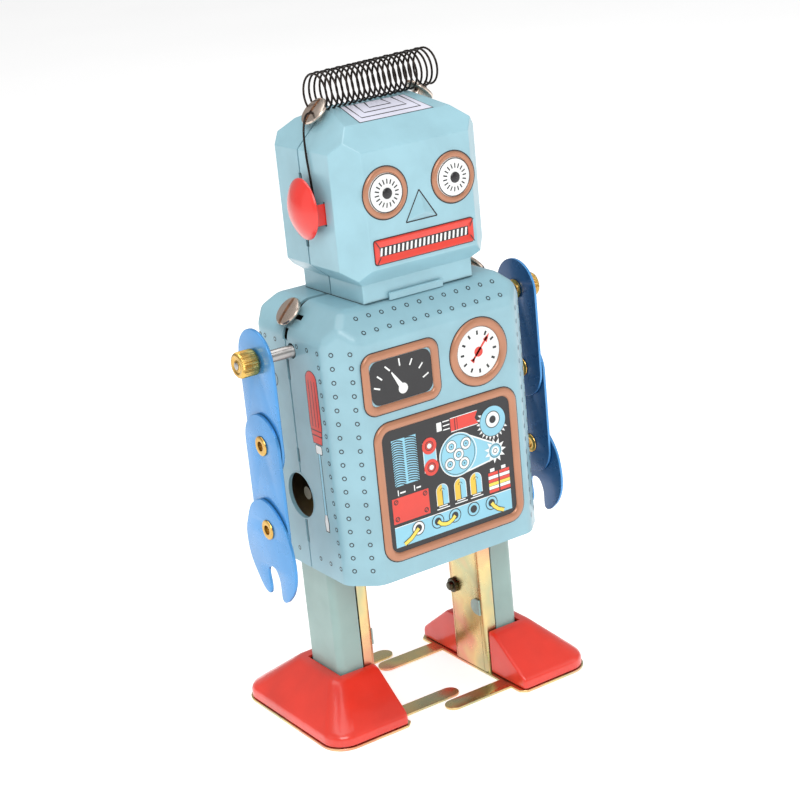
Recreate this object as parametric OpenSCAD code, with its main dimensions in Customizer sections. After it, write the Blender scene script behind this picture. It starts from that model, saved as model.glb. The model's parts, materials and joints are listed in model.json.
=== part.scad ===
// Wind-up walking toy robot of pressed tinplate, facing -Y, standing on Z = 0, in millimetres.

/* [Body] */
// Width across the body's sides
body_width = 44; // [40:0.5:48]
// Depth from front to back
body_depth = 31.8; // [28:0.1:36]
// Height of the body's lower edge above the floor
body_bottom = 32.2; // [30:0.1:35]
// Height of the body's top
body_top = 83.7; // [78:0.1:90]
// Flat cut across each vertical edge
body_chamfer = 4.7; // [2:0.1:7]
// Sloping band around the top
body_bevel = 4.8; // [2:0.1:7]
// Tinplate thickness of the shells
sheet = 0.5; // [0.3:0.05:0.8]
// Gap at the seam between front and back shells
seam = 0.3; // [0.1:0.05:0.6]
// Position of the body's seam, behind the middle
seam_y = 1.2; // [0:0.1:3]

/* [Head] */
// Width of the head
head_width = 31.4; // [26:0.2:36]
// Front face of the head, measured forward from the seam
head_front_y = 14.2; // [11:0.1:16]
// Back face of the head, measured backward from the seam
head_back_y = 12.2; // [9:0.1:15]
// Height where the neck starts to widen into the head
neck_top = 87.1; // [85:0.1:89]
// Height where the head's sides start
head_low = 90.2; // [88:0.1:93]
// Height where the head's sides end and the top slope starts
head_high = 111.3; // [106:0.1:114]
// Height where the head's front and back slopes meet its low roof
head_top = 115.4; // [110:0.1:120]
// Height of the roof's crest
head_crest = 117.3; // [115:0.1:120]
// Width of the neck
neck_width = 24; // [18:0.2:28]
// Flat cut across the head's vertical edges
head_chamfer = 1.6; // [0.5:0.1:3]

/* [Face and panels] */
// Distance of each eye from the middle
eye_x = 7.32; // [5:0.1:9]
// Height of the eyes
eye_z = 103.5; // [98:0.1:108]
// Outer radius of an eye's ring
eye_r = 4.66; // [3:0.05:6]
// Height of the raised rims above the sheet
rim_height = 0.5; // [0.2:0.05:0.8]
// Width of a raised rim
rim_width = 1.2; // [0.6:0.1:2]
// Middle height of the mouth
mouth_z = 93.25; // [92:0.1:95]
// Half of the main panel's width
panel_half = 15.96; // [12:0.1:18]
// Lower edge of the main panel
panel_low = 35.75; // [34:0.1:40]
// Upper edge of the main panel
panel_high = 62.7; // [58:0.1:66]
// Middle of the round dial, sideways
dial_x = 8.46; // [6:0.1:11]
// Middle height of the round dial
dial_z = 70.8; // [67:0.1:74]
// Outer radius of the round dial
dial_r = 6.45; // [4:0.1:8]

/* [Antenna] */
// Height of the coil's axis
coil_z = 120.95; // [118:0.1:125]
// Radius of the coil at the middle of the wire
coil_r = 3.4; // [2:0.1:5]
// Half of the coil's length
coil_half = 12.55; // [8:0.1:14]
// Number of turns
coil_turns = 22; // [8:1:26]
// Radius of the coil's wire
wire_r = 0.2; // [0.15:0.01:0.3]

/* [Arms] */
// Height of the shoulder rod
rod_z = 75.5; // [70:0.1:79]
// Rod position from the seam, forward is negative
rod_y = -0.7; // [-3:0.1:3]
// Radius of the rod through the body
rod_r = 1.15; // [0.8:0.05:1.5]
// Radius of the rod's turned-down ends
rod_end_r = 0.75; // [0.5:0.05:1]
// Height of the elbow joint
elbow_z = 59.5; // [56:0.1:63]
// Height of the wrist joint
wrist_z = 43.3; // [40:0.1:47]
// Half of an arm strip's width
arm_half = 5.95; // [4:0.05:7]
// Thickness of an arm strip
arm_sheet = 0.6; // [0.4:0.05:1]
// Distance of the upper arm's inner face from the middle
arm_x = 29.1; // [27:0.1:31]

/* [Legs and feet] */
// Middle of the legs, front to back, when the crank is level
leg_y = 2.4; // [0:0.1:4]
// Half of a leg's depth
leg_half = 5.65; // [4:0.05:7]
// Distance of the bracket's inner face from the middle
bracket_x = 11.4; // [10:0.1:13]
// Distance of the cover's outer face from the middle
cover_x = 19.65; // [17:0.05:22]
// Thickness of the bracket's steel
bracket_sheet = 0.6; // [0.4:0.05:1]
// Height of a foot
foot_top = 9.5; // [7:0.1:12]
// Outer side of a foot, distance from the middle
foot_x = 28.7; // [25:0.1:32]
// Half of a foot's length
foot_half = 17.5; // [14:0.1:20]
// Thickness of a sole plate
sole = 0.5; // [0.3:0.05:0.8]
// How far a sole's fingers reach past the middle
finger_reach = 3; // [0:0.1:6]
// Half of a finger's width
finger_half = 1.9; // [1:0.1:2.2]

/* [Movement] */
// Height of the winding arbor
arbor_z = 46.7; // [44:0.1:49]
// Position of the arbors, front to back
arbor_y = 2; // [0:0.1:4]
// Radius of the key hole in the body's side
key_hole_r = 4.4; // [3:0.1:5]
// Radius of the winding arbor
arbor_r = 1.5; // [1:0.05:2]
// Radius of the winding arbor's outer end, which takes the key
key_end_r = 1.25; // [0.8:0.05:1.5]
// Length of the winding arbor's outer end
key_end_length = 4; // [3:0.5:5]
// Throw of the cranks that carry the legs
crank_throw = 2.4; // [1.5:0.1:3]
// Turn of the crank: 0 puts the right leg back and the left leg forward, 90 the right leg up and the left leg down
crank_angle = 0; // [0:5:90]
// Size of the gear teeth (pitch diameter over number of teeth)
gear_module = 0.4; // [0.3:0.05:0.6]
// Teeth of the great wheel
great_teeth = 38; // [30:2:44]
// Teeth of the pinions driven by the great wheel
pinion_teeth = 10; // [8:2:14]
// Teeth of the third wheel
third_teeth = 32; // [24:2:36]
// Teeth of the escape pinion
escape_teeth = 8; // [8:2:12]
// Distance of the frame plates' outer faces from the middle
frame_x = 9.4; // [8:0.1:10]

/* [Show] */
// Which piece to draw

/* [Hidden] */
$fn = 48;

// Height of the stud on the inner side of a leg, and the radius of its shank
stud_z = 17;
stud_shank_r = 0.6;

// Reach of cutting shapes past what they cut
cut = 1;
// Longer than any piece of the toy
far = 200;
// Running clearance on the radius
run = 0.05;
// Shift along an inner slope of a bend of about 45 degrees, for one unit of sheet
bend = 0.41;

body_x = body_width / 2;
body_y = body_depth / 2;
head_x = head_width / 2;
neck_x = neck_width / 2;
neck_y_front = head_front_y - 3.2;
neck_y_back = head_back_y - 3.2;
head_slope_x = 4.4;
head_slope_y = 4.8;
head_lug_x = 10.4;
head_lug_z = head_high + (head_x - head_lug_x) * (head_top - head_high) / head_slope_x;

great_r = gear_module * great_teeth / 2;
pinion_r = gear_module * pinion_teeth / 2;
third_r = gear_module * third_teeth / 2;
escape_r = gear_module * escape_teeth / 2;
crank_z = arbor_z - great_r - pinion_r;
third_z = arbor_z + great_r + pinion_r;
escape_z = third_z + third_r + escape_r;
verge_z = escape_z + 6.5;
shaft_r = 1;
fine_r = 0.6;
gear_thick = 1.2;
great_x = -6.5;
third_wheel_x = 6.2;
escape_wheel_x = 2;
plate_thick = 0.8;
plate_inner = frame_x - plate_thick;
plate_front = -10;
plate_back = 13;
plate_low = body_bottom + 0.9;
plate_high = verge_z + 2.4;
pillar_r = 1.2;
pillars = [[-8, 37], [11, 37], [-8, 70], [11, 70]];
bush_r = 2;
crank_x = 9.7;
crank_thick = 1.1;
crank_r = 3.4;
crank_pin_r = 0.8;
crank_pin_end = 12.9;
spring_inner = 1.9;
spring_outer = 7.6;
spring_turns = 5;
spring_sheet = 0.35;
spring_x = -2.5;
spring_width = 8;

// Offset of the right crank pin from the crank's axis; the left pin is opposite
pin_y = crank_throw * cos(crank_angle);
pin_z = crank_throw * sin(crank_angle);
guide_hole_r = bush_r + crank_throw + run;
// Heights on the lower leg
guide_z = arbor_z - pin_z;
leg_pin_z = crank_z - pin_z;
leg_head_r = guide_hole_r + 1.6;
flange_depth = 2.1;
flange_high = 40;
cover_inner = 14.4;
cover_low = 8.9;
cover_high = 38;
foot_in = bracket_x + bracket_sheet + 0.1;
foot_rim = 2.5;
plateau_out = 21.8;
plateau_front = 7.4;
plateau_back = 8.6;
foot_y = leg_y + 0.6;
foot_sheet = 0.5;
finger_front = -12;
finger_rear = 11.5;

forearm_x = arm_x + arm_sheet + 0.15;
hand_x = forearm_x + arm_sheet + 0.15;
eyelet_r = 1.3;
eyelet_flange_r = 1.9;
eyelet_flange = 0.2;
hub_r = 2.45;
hub_inner = 29.95;
hub_outer = 33.5;

ear_y = -3;
ear_z = 101.2;
ear_r = 5.6;
ear_dome = 2;
// The right ear stands off the head and its front edge a little more; the left ear is pressed close
ear_right_x = 17.8;
ear_right_turn = 5;
ear_left_x = 16.3;
ear_left_turn = 0;
strap_y = -7;
strap_z = 100.4;
strap_half = 1.9;

// ---- helpers ----

// A block with its plan, its view from the front (x, z) and its view from the side (y, z)
module block(plan, front, side) {
  intersection() {
    linear_extrude(far) polygon(plan);
    rotate([90, 0, 0]) translate([0, 0, -far / 2]) linear_extrude(far) polygon(front);
    rotate([90, 0, 90]) translate([0, 0, -far / 2]) linear_extrude(far) polygon(side);
  }
}

// A cylinder along X from x0 to x1, centred on (y, z)
module rod(x0, x1, y, z, r) {
  translate([x0, y, z]) rotate([0, 90, 0]) cylinder(h = x1 - x0, r = r);
}

// A flat shape drawn as (y, z), as a plate from x0 to x1
module plate(x0, x1) {
  translate([x0, 0, 0]) rotate([90, 0, 90]) linear_extrude(x1 - x0) children();
}

// Keeps only what is in front of a seam at y
module front_half(y) {
  intersection() {
    children();
    translate([-far / 2, -far - seam / 2 + y, 0]) cube([far, far, far]);
  }
}

// Keeps only what is behind a seam at y
module back_half(y) {
  intersection() {
    children();
    translate([-far / 2, seam / 2 + y, 0]) cube([far, far, far]);
  }
}

// A picture-frame rim on the body's or the head's front, with a sunk field
module rim(x0, x1, z0, z1, face_y) {
  difference() {
    translate([x0, face_y - rim_height, z0]) cube([x1 - x0, rim_height + sheet / 2, z1 - z0]);
    translate([x0 + rim_width, face_y - cut, z0 + rim_width])
      cube([x1 - x0 - 2 * rim_width, cut, z1 - z0 - 2 * rim_width]);
  }
}

// A round rim on a front face
module round_rim(x, z, r, face_y) {
  translate([x, face_y + sheet / 2, z]) rotate([90, 0, 0]) difference() {
    cylinder(h = rim_height + sheet / 2, r = r);
    translate([0, 0, sheet / 2]) cylinder(h = far, r = r - rim_width);
  }
}

// Outline of a toothed wheel, first tooth pointing up (second coordinate)
module wheel_outline(teeth) {
  pitch_r = gear_module * teeth / 2;
  step = 360 / teeth;
  root_r = pitch_r - 1.2 * gear_module;
  tip_r = pitch_r + 0.8 * gear_module;
  polygon([for (i = [0:teeth - 1], k = [[root_r, -0.29], [tip_r, -0.11], [tip_r, 0.11], [root_r, 0.29]])
    [-k[0] * sin(step * (i + k[1])), k[0] * cos(step * (i + k[1]))]]);
}

// A toothed wheel on the arbor line at height z, turned by a part of a tooth
module wheel(x, thick, teeth, z, turn, bore) {
  plate(x, x + thick) translate([arbor_y, z]) difference() {
    rotate(turn * 360 / teeth) wheel_outline(teeth);
    circle(bore);
  }
}

// ---- body ----

module body_solid(t) {
  x = body_x - t;
  y = body_y - t;
  top = body_top - t;
  low = t > 0 ? body_bottom - cut : body_bottom;
  k = body_chamfer - bend * t;
  b = body_bevel - bend * t;
  block(
    [[-x, -y + k], [-x + k, -y], [x - k, -y], [x, -y + k], [x, y - k], [x - k, y], [-x + k, y], [-x, y - k]],
    [[-x, low], [x, low], [x, top - b], [x - b, top], [-x + b, top], [-x, top - b]],
    [[-y, low], [y, low], [y, top - b], [y - b, top], [-y + b, top], [-y, top - b]]
  );
}

module body_openings() {
  rod(-far, far, rod_y, rod_z, rod_r + 0.2);
  rod(-far, -body_x + 2 * sheet, arbor_y, arbor_z, key_hole_r);
  for (side = [-1, 1])
    translate([side * (body_x - body_bevel / 2), seam_y, body_top - body_bevel / 2]) rotate([0, side * 45, 0])
      cylinder(h = 4, r = 0.8, center = true);
}

module body_front() {
  color([0.58, 0.76, 0.80]) front_half(seam_y) difference() {
    union() {
      difference() {
        body_solid(0);
        body_solid(sheet);
      }
      rim(-panel_half, panel_half, panel_low, panel_high, -body_y);
      rim(-17.1, -0.42, 64.5, 76.1, -body_y);
      round_rim(dial_x, dial_z, dial_r, -body_y);
    }
    body_openings();
  }
}

module body_back() {
  color([0.58, 0.76, 0.80]) back_half(seam_y) difference() {
    body_solid(0);
    body_solid(sheet);
    body_openings();
  }
}

module bottom_plate() {
  x = body_x - sheet - run;
  y = body_y - sheet - run;
  k = body_chamfer;
  slot_y = leg_half + crank_throw + 1;
  color([0.85, 0.25, 0.2]) difference() {
    translate([0, 0, body_bottom + 0.3]) linear_extrude(0.6)
      polygon([[-x, -y + k], [-x + k, -y], [x - k, -y], [x, -y + k], [x, y - k], [x - k, y], [-x + k, y], [-x, y - k]]);
    for (side = [-1, 1])
      translate([side * 15.55 - 4.95, leg_y - slot_y, body_bottom - cut]) cube([9.9, 2 * slot_y, 4]);
  }
}

// ---- head ----

module head_solid(t) {
  x = head_x - t;
  n = neck_x - t;
  f = head_front_y - t;
  b = head_back_y - t;
  nf = neck_y_front - t;
  nb = neck_y_back - t;
  low = t > 0 ? body_top - cut : body_top;
  top = head_top - t;
  crest = head_crest - t;
  high = head_high - bend * t;
  sx = head_slope_x - bend * t;
  sy = head_slope_y - bend * t;
  cx = sx * (crest - high) / (top - high);
  c = 1.5;
  k = head_chamfer;
  block(
    [[-x, -f + k], [-x + k, -f], [x - k, -f], [x, -f + k], [x, b - k], [x - k, b], [-x + k, b], [-x, b - k]],
    [[-n, low], [n, low], [n, neck_top], [x, head_low], [x, high], [x - cx, crest], [-x + cx, crest], [-x, high],
      [-x, head_low], [-n, neck_top]],
    [[-nf, low], [nb, low], [nb, neck_top], [b, head_low], [b, high], [b - sy, top], [c, crest], [-c, crest], [-f + sy, top], [-f, high],
      [-f, head_low], [-nf, neck_top]]
  );
}

module head_openings() {
  for (side = [-1, 1]) {
    translate([side * head_x - cut, strap_y - 0.35, strap_z - strap_half - 0.2])
      cube([2 * cut, 0.7, 2 * strap_half + 0.4]);
    translate([side * head_lug_x, 0, head_lug_z]) rotate([0, side * 43, 0])
      cylinder(h = 4, r = 0.8, center = true);
  }
}

module nose() {
  translate([0, -head_front_y - 0.9, 0]) rotate([90, 0, 0]) mirror([0, 0, 1]) linear_extrude(1)
    polygon([[-1.1, 98.9], [1.1, 98.9], [0, 100.8]]);
  translate([0, -head_front_y - 0.4, 0]) rotate([90, 0, 0]) mirror([0, 0, 1]) linear_extrude(0.6)
    polygon([[-3.2, 97.5], [3.2, 97.5], [0, 102.4]]);
}

module eye_cup(side) {
  translate([side * eye_x, -head_front_y + sheet / 2, eye_z]) rotate([90, 0, 0]) {
    cylinder(h = sheet / 2 + 0.3, r = eye_r);
    cylinder(h = sheet / 2 + 0.6, r = 2.2);
    cylinder(h = sheet / 2 + 0.9, r = 1.1);
  }
}

module head_front() {
  color([0.62, 0.80, 0.84]) front_half(0) union() {
    difference() {
      head_solid(0);
      head_solid(sheet);
      head_openings();
    }
    eye_cup(-1);
    eye_cup(1);
    nose();
    rim(-10.7, 10.7, mouth_z - 2.15, mouth_z + 2.15, -head_front_y);
  }
}

module head_back() {
  color([0.58, 0.76, 0.80]) back_half(0) difference() {
    head_solid(0);
    head_solid(sheet);
    head_openings();
  }
}

// ---- antenna ----

coil_steps = 14;
wire_sides = 6;
// Middle of the coil along X, and how much its left end stands higher
coil_x = 1.15;
coil_slope = 0.9;
coil_rings = coil_turns * coil_steps + coil_steps / 2;
// Rings of the wire: centre and outward direction, first one leg, then the coil, then the other leg
wire_path = concat(
  [[[-head_x - 0.35, -4.7, ear_z], -1], [[-head_x - 0.35, -3.3, 111], -1], [[-coil_half - 1.7, -1.9, 117.6], -1]],
  [for (i = [0:coil_rings]) let (a = 180 - 360 * i / coil_steps)
    [[coil_x - coil_half + 2 * coil_half * i / coil_rings, coil_r * cos(a),
      coil_z + coil_slope * (i / coil_rings - 0.5) + coil_r * sin(a)], a]],
  [[[coil_half + 2.6, 3.6, 117.5], 0], [[head_x + 0.6, 4.2, 112], 0], [[head_x + 0.35, 5.2, ear_z], 0]]
);

function wire_ring(p, side) = let (a = p[1] == -1 ? 180 : p[1], b = side * 360 / wire_sides)
  [p[0][0] + wire_r * sin(b), p[0][1] + wire_r * cos(b) * cos(a), p[0][2] + wire_r * cos(b) * sin(a)];

module antenna_spring() {
  count = len(wire_path);
  color([0.12, 0.11, 0.11]) polyhedron(
    points = [for (p = wire_path, side = [0:wire_sides - 1]) wire_ring(p, side)],
    faces = concat(
      [[for (s = [0:wire_sides - 1]) s]],
      [for (i = [0:count - 2], s = [0:wire_sides - 1]) let (t = (s + 1) % wire_sides)
        [i * wire_sides + s, (i + 1) * wire_sides + t, i * wire_sides + t]],
      [for (i = [0:count - 2], s = [0:wire_sides - 1]) let (t = (s + 1) % wire_sides)
        [i * wire_sides + s, (i + 1) * wire_sides + s, (i + 1) * wire_sides + t]],
      [[for (s = [wire_sides - 1:-1:0]) (count - 1) * wire_sides + s]]
    )
  );
}

// ---- split lugs that pinch the seams, and ears ----

// Height of a lug's disc above the sheet
lug_lift = 1.1;

module lug(x, y, z, tilt) {
  translate([x, y, z]) rotate([0, tilt, 0]) difference() {
    union() {
      translate([0, 0, lug_lift]) cylinder(h = 0.8, r = 2.9);
      translate([0, 0, -1.4]) cylinder(h = 1.5 + lug_lift, r = 0.7);
    }
    translate([-3, -0.4, lug_lift + 0.3]) cube([6, 0.8, 2]);
  }
}

module seam_lugs() {
  color([0.85, 0.76, 0.66]) for (side = [-1, 1]) {
    lug(side * (body_x - body_bevel / 2), seam_y, body_top - body_bevel / 2, side * 45);
    lug(side * head_lug_x, 0, head_lug_z, side * 43);
  }
}

module ear(side, rim_x, turn) {
  ball_r = (ear_r * ear_r + ear_dome * ear_dome) / (2 * ear_dome);
  color([0.93, 0.25, 0.2]) mirror([side < 0 ? 1 : 0, 0, 0]) union() {
    translate([rim_x, ear_y, ear_z]) rotate([0, 90, turn]) difference() {
      intersection() {
        translate([0, 0, ear_dome - ball_r]) sphere(r = ball_r);
        cylinder(h = ear_dome + cut, r = ear_r + cut);
      }
      translate([0, 0, ear_dome - ball_r - sheet]) sphere(r = ball_r);
    }
    translate([head_x - 1.2, strap_y - 0.2, strap_z - strap_half]) cube([rim_x - head_x + 2, 0.4, 2 * strap_half]);
  }
}

module ear_right() {
  ear(-1, ear_right_x, ear_right_turn);
}

module ear_left() {
  ear(1, ear_left_x, ear_left_turn);
}

// ---- arms ----

module arm_rod() {
  color([0.55, 0.53, 0.52]) union() {
    rod(-arm_x + 0.55, arm_x - 0.55, rod_y, rod_z, rod_r);
    rod(-hub_outer - 0.1, hub_outer + 0.1, rod_y, rod_z, rod_end_r);
  }
}

// Both arms are drawn for the side x > 0 and mirrored for the other
module on_side(side) {
  mirror([side < 0 ? 1 : 0, 0, 0]) children();
}

module arm_hub(side) {
  color([0.85, 0.65, 0.3]) on_side(side) difference() {
    rod(hub_inner, hub_outer, rod_y, rod_z, hub_r);
    rod(hub_inner - cut, hub_outer + cut, rod_y, rod_z, rod_end_r);
  }
}

module eyelet(side, x0, x1, z, bore) {
  color([0.8, 0.62, 0.3]) on_side(side) difference() {
    union() {
      rod(x0, x1, rod_y, z, eyelet_r);
      rod(x0 - eyelet_flange, x0, rod_y, z, eyelet_flange_r);
      rod(x1, x1 + eyelet_flange, rod_y, z, eyelet_flange_r);
    }
    rod(x0 - cut, x1 + cut, rod_y, z, bore);
  }
}

module arm_bush(side) {
  color([0.8, 0.62, 0.3]) on_side(side) difference() {
    union() {
      rod(arm_x - 0.2, hub_inner - run, rod_y, rod_z, eyelet_r);
      rod(arm_x - 0.5, arm_x - 0.05, rod_y, rod_z, eyelet_flange_r);
    }
    rod(arm_x - cut, hub_inner + cut, rod_y, rod_z, rod_end_r + run);
  }
}

module strip_outline(z_high, z_low) {
  translate([rod_y, z_high]) circle(arm_half);
  translate([rod_y, z_low]) circle(arm_half);
  translate([rod_y - arm_half, z_low]) square([2 * arm_half, z_high - z_low]);
}

module upper_arm(side) {
  color([0.45, 0.68, 0.88]) on_side(side) plate(arm_x, arm_x + arm_sheet) difference() {
    strip_outline(rod_z, elbow_z);
    translate([rod_y, rod_z]) circle(eyelet_r);
    translate([rod_y, elbow_z]) circle(eyelet_r);
  }
}

module forearm(side) {
  color([0.40, 0.62, 0.85]) on_side(side) plate(forearm_x, forearm_x + arm_sheet) difference() {
    strip_outline(elbow_z, wrist_z);
    translate([rod_y, elbow_z]) circle(eyelet_r + run);
    translate([rod_y, wrist_z]) circle(eyelet_r);
  }
}

module hand(side) {
  color([0.36, 0.58, 0.82]) on_side(side) plate(hand_x, hand_x + arm_sheet) translate([rod_y, wrist_z]) difference() {
    union() {
      circle(arm_half + 0.3);
      translate([0, -5.4]) circle(7.8);
      polygon([[-7.8, -5.6], [-7.6, -8.6], [-6.3, -11.4], [-4.4, -13.4], [-3, -13.8], [3, -13.6], [5.2, -11.6], [7.2, -8.4],
        [7.8, -5.4]]);
    }
    polygon([[-2, -16], [-2, -10.2], [-1.2, -8.4], [0.3, -7.7], [1.5, -8.1], [1.8, -9.4], [1.8, -12], [2.2, -16]]);
    circle(eyelet_r + run);
  }
}

module arm_hub_right() {
  arm_hub(-1);
}

module arm_hub_left() {
  arm_hub(1);
}

module arm_bush_right() {
  arm_bush(-1);
}

module arm_bush_left() {
  arm_bush(1);
}

module upper_arm_right() {
  upper_arm(-1);
}

module upper_arm_left() {
  upper_arm(1);
}

module elbow_eyelet_right() {
  eyelet(-1, arm_x, forearm_x + arm_sheet + run, elbow_z, 0.8);
}

module elbow_eyelet_left() {
  eyelet(1, arm_x, forearm_x + arm_sheet + run, elbow_z, 0.8);
}

module forearm_right() {
  forearm(-1);
}

module forearm_left() {
  forearm(1);
}

module wrist_eyelet_right() {
  eyelet(-1, forearm_x, hand_x + arm_sheet + run, wrist_z, 0.8);
}

module wrist_eyelet_left() {
  eyelet(1, forearm_x, hand_x + arm_sheet + run, wrist_z, 0.8);
}

module hand_right() {
  hand(-1);
}

module hand_left() {
  hand(1);
}

// ---- legs ----

// A leg is drawn at x > 0 and standing on the ground, then carried by its crank pin:
// the right leg backward and up, the left leg forward
module leg_place(side) {
  translate([0, -side * pin_y, side < 0 ? 2 * pin_z : 0]) on_side(side) children();
}

module leg_bracket(side) {
  y0 = leg_y - leg_half;
  y1 = leg_y + leg_half;
  color([0.80, 0.74, 0.45]) leg_place(side) union() {
    plate(bracket_x, bracket_x + bracket_sheet) difference() {
      union() {
        translate([y0, sole]) square([y1 - y0, guide_z - sole]);
        translate([arbor_y, guide_z]) circle(leg_head_r);
      }
      translate([arbor_y, guide_z]) circle(guide_hole_r);
      translate([arbor_y, leg_pin_z]) circle(crank_pin_r + run);
      translate([y1 - 2, stud_z]) circle(stud_shank_r);
    }
    for (y = [y0, y1 - bracket_sheet])
      translate([bracket_x, y, sole]) cube([bracket_sheet + flange_depth, bracket_sheet, flange_high - sole]);
  }
}

module leg_cover(side) {
  y0 = leg_y - leg_half;
  y1 = leg_y + leg_half;
  tab_z = 14.5;
  tab_half = 1.7;
  color([0.57, 0.68, 0.64]) leg_place(side) union() {
    difference() {
      translate([cover_inner, y0, cover_low]) cube([cover_x - cover_inner, y1 - y0, cover_high - cover_low]);
      translate([cover_inner - cut, y0 + sheet, cover_low - cut])
        cube([cover_x - cover_inner + cut - sheet, y1 - y0 - 2 * sheet, far]);
    }
    translate([bracket_x - 0.45, y0 - 0.4, tab_z - tab_half]) cube([cover_inner - bracket_x + 0.45, 0.35, 2 * tab_half]);
    translate([cover_inner - 0.3, y0 - 0.4, tab_z - tab_half]) cube([0.8, 0.6, 2 * tab_half]);
    translate([bracket_x - 0.45, y0 - 0.4, tab_z - tab_half]) cube([0.4, 2.2, 2 * tab_half]);
    rod(bracket_x - 0.45, bracket_x - 0.05, y0 + 1.8, tab_z, tab_half);
  }
}

module leg_stud(side) {
  y = leg_y + leg_half - 2;
  color([0.2, 0.2, 0.16]) leg_place(side) union() {
    rod(bracket_x - 0.7, bracket_x - 0.05, y, stud_z, 1.5);
    rod(bracket_x - 1.5, bracket_x - 0.7, y, stud_z, 0.9);
    rod(bracket_x - 0.1, bracket_x + bracket_sheet + 0.6, y, stud_z, stud_shank_r);
  }
}

module foot_solid(t) {
  x0 = foot_in + t;
  x1 = foot_x - t;
  f = foot_y - foot_half + t;
  b = foot_y + foot_half - t;
  low = t > 0 ? sole - cut : sole;
  top = foot_top - t;
  k = 3.6;
  d = bend * t;
  block(
    [[x0, f + 1.2], [x0 + 1.2, f], [x1 - k, f], [x1, f + k], [x1, b - k], [x1 - k, b], [x0 + 1.2, b], [x0, b - 1.2]],
    [[x0, low], [x1, low], [x1, foot_rim], [plateau_out - d, top], [x0, top]],
    [[f, low], [b, low], [b, foot_rim], [leg_y + plateau_back - d, top], [leg_y - plateau_front + d, top], [f, foot_rim]]
  );
}

module foot_shell(side) {
  color([0.95, 0.32, 0.22]) leg_place(side) difference() {
    foot_solid(0);
    foot_solid(foot_sheet);
    translate([foot_in - cut, leg_y - leg_half - 0.6, sole - cut])
      cube([cover_x + 0.2 - foot_in + cut, 2 * leg_half + 1.2, far]);
  }
}

module sole_plate(side) {
  x0 = bracket_x - 0.1;
  x1 = foot_x + 0.3;
  f = foot_y - foot_half - 0.3;
  b = foot_y + foot_half + 0.3;
  k = 3.7;
  color([0.80, 0.76, 0.50]) leg_place(side) linear_extrude(sole) union() {
    polygon([[x0, f + 1.2], [x0 + 1.2, f], [x1 - k, f], [x1, f + k], [x1, b - k], [x1 - k, b], [x0 + 1.2, b], [x0, b - 1.2]]);
    for (y = [foot_y + finger_front, foot_y + finger_rear]) {
      translate([-finger_reach + finger_half, y]) circle(finger_half);
      translate([-finger_reach + finger_half, y - finger_half]) square([x0 + finger_reach, 2 * finger_half]);
    }
  }
}

module leg_cover_right() {
  leg_cover(-1);
}

module leg_cover_left() {
  leg_cover(1);
}

module leg_bracket_right() {
  leg_bracket(-1);
}

module leg_bracket_left() {
  leg_bracket(1);
}

module leg_stud_right() {
  leg_stud(-1);
}

module leg_stud_left() {
  leg_stud(1);
}

module foot_shell_right() {
  foot_shell(-1);
}

module foot_shell_left() {
  foot_shell(1);
}

module sole_plate_right() {
  sole_plate(-1);
}

module sole_plate_left() {
  sole_plate(1);
}

// ---- movement ----

module frame_plate(side) {
  color([0.75, 0.73, 0.6]) on_side(side) plate(plate_inner, frame_x) difference() {
    translate([plate_front, plate_low]) square([plate_back - plate_front, plate_high - plate_low]);
    translate([arbor_y, arbor_z]) circle(bush_r + 0.02);
    translate([arbor_y, crank_z]) circle(shaft_r + run);
    for (z = [third_z, escape_z, verge_z])
      translate([arbor_y, z]) circle(fine_r + run);
    for (p = pillars)
      translate(p) circle(fine_r + 0.02);
    translate([-8.2, 44]) square([5, 18]);
  }
}

module frame_plate_right() {
  frame_plate(-1);
}

module frame_plate_left() {
  frame_plate(1);
}

module frame_pillars() {
  color([0.7, 0.7, 0.68]) for (p = pillars) {
    rod(-plate_inner, plate_inner, p[0], p[1], pillar_r);
    rod(-frame_x - 0.2, frame_x + 0.2, p[0], p[1], fine_r);
  }
}

module guide_bush(side) {
  color([0.8, 0.65, 0.35]) on_side(side) difference() {
    rod(plate_inner, 12.7, arbor_y, arbor_z, bush_r);
    rod(plate_inner - cut, 12.7 + cut, arbor_y, arbor_z, arbor_r + run);
  }
}

module guide_bush_right() {
  guide_bush(-1);
}

module guide_bush_left() {
  guide_bush(1);
}

spiral_steps = 24;

function spiral(i, r0) = let (t = i / (spring_turns * spiral_steps), r = r0 + (spring_outer - spring_inner) * t)
  [arbor_y + r * cos(360 * spring_turns * t + 180), arbor_z + r * sin(360 * spring_turns * t + 180)];

module mainspring() {
  last = spring_turns * spiral_steps;
  color([0.35, 0.36, 0.4]) plate(spring_x, spring_x + spring_width) union() {
    polygon(concat(
      [for (i = [0:last]) spiral(i, spring_inner)],
      [for (i = [last:-1:0]) spiral(i, spring_inner - spring_sheet)]
    ));
    translate([pillars[0][0] + pillar_r, pillars[0][1] - 0.2]) square([spring_sheet, arbor_z - pillars[0][1] + 0.2]);
    translate([pillars[0][0] + pillar_r, arbor_z - spring_sheet])
      square([arbor_y - spring_outer - pillars[0][0] - pillar_r + 0.3, spring_sheet]);
  }
}

module winding_arbor() {
  x0 = -body_x + 1.4;
  color([0.5, 0.5, 0.4]) union() {
    rod(x0, x0 + key_end_length + cut, arbor_y, arbor_z, key_end_r);
    rod(x0 + key_end_length, 12.5, arbor_y, arbor_z, arbor_r);
  }
}

module ratchet_wheel() {
  step = 30;
  color([0.7, 0.6, 0.3]) plate(great_x + gear_thick + 0.1, great_x + gear_thick + 0.8)
    translate([arbor_y, arbor_z]) difference() {
      polygon([for (i = [0:11], k = [[3.1, 0], [2.4, 0.12]]) [k[0] * cos(step * (i + k[1])), k[0] * sin(step * (i + k[1]))]]);
      circle(arbor_r);
    }
}

module great_wheel() {
  color([0.85, 0.68, 0.3]) wheel(great_x, gear_thick, great_teeth, arbor_z, 0, arbor_r + run);
}

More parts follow.
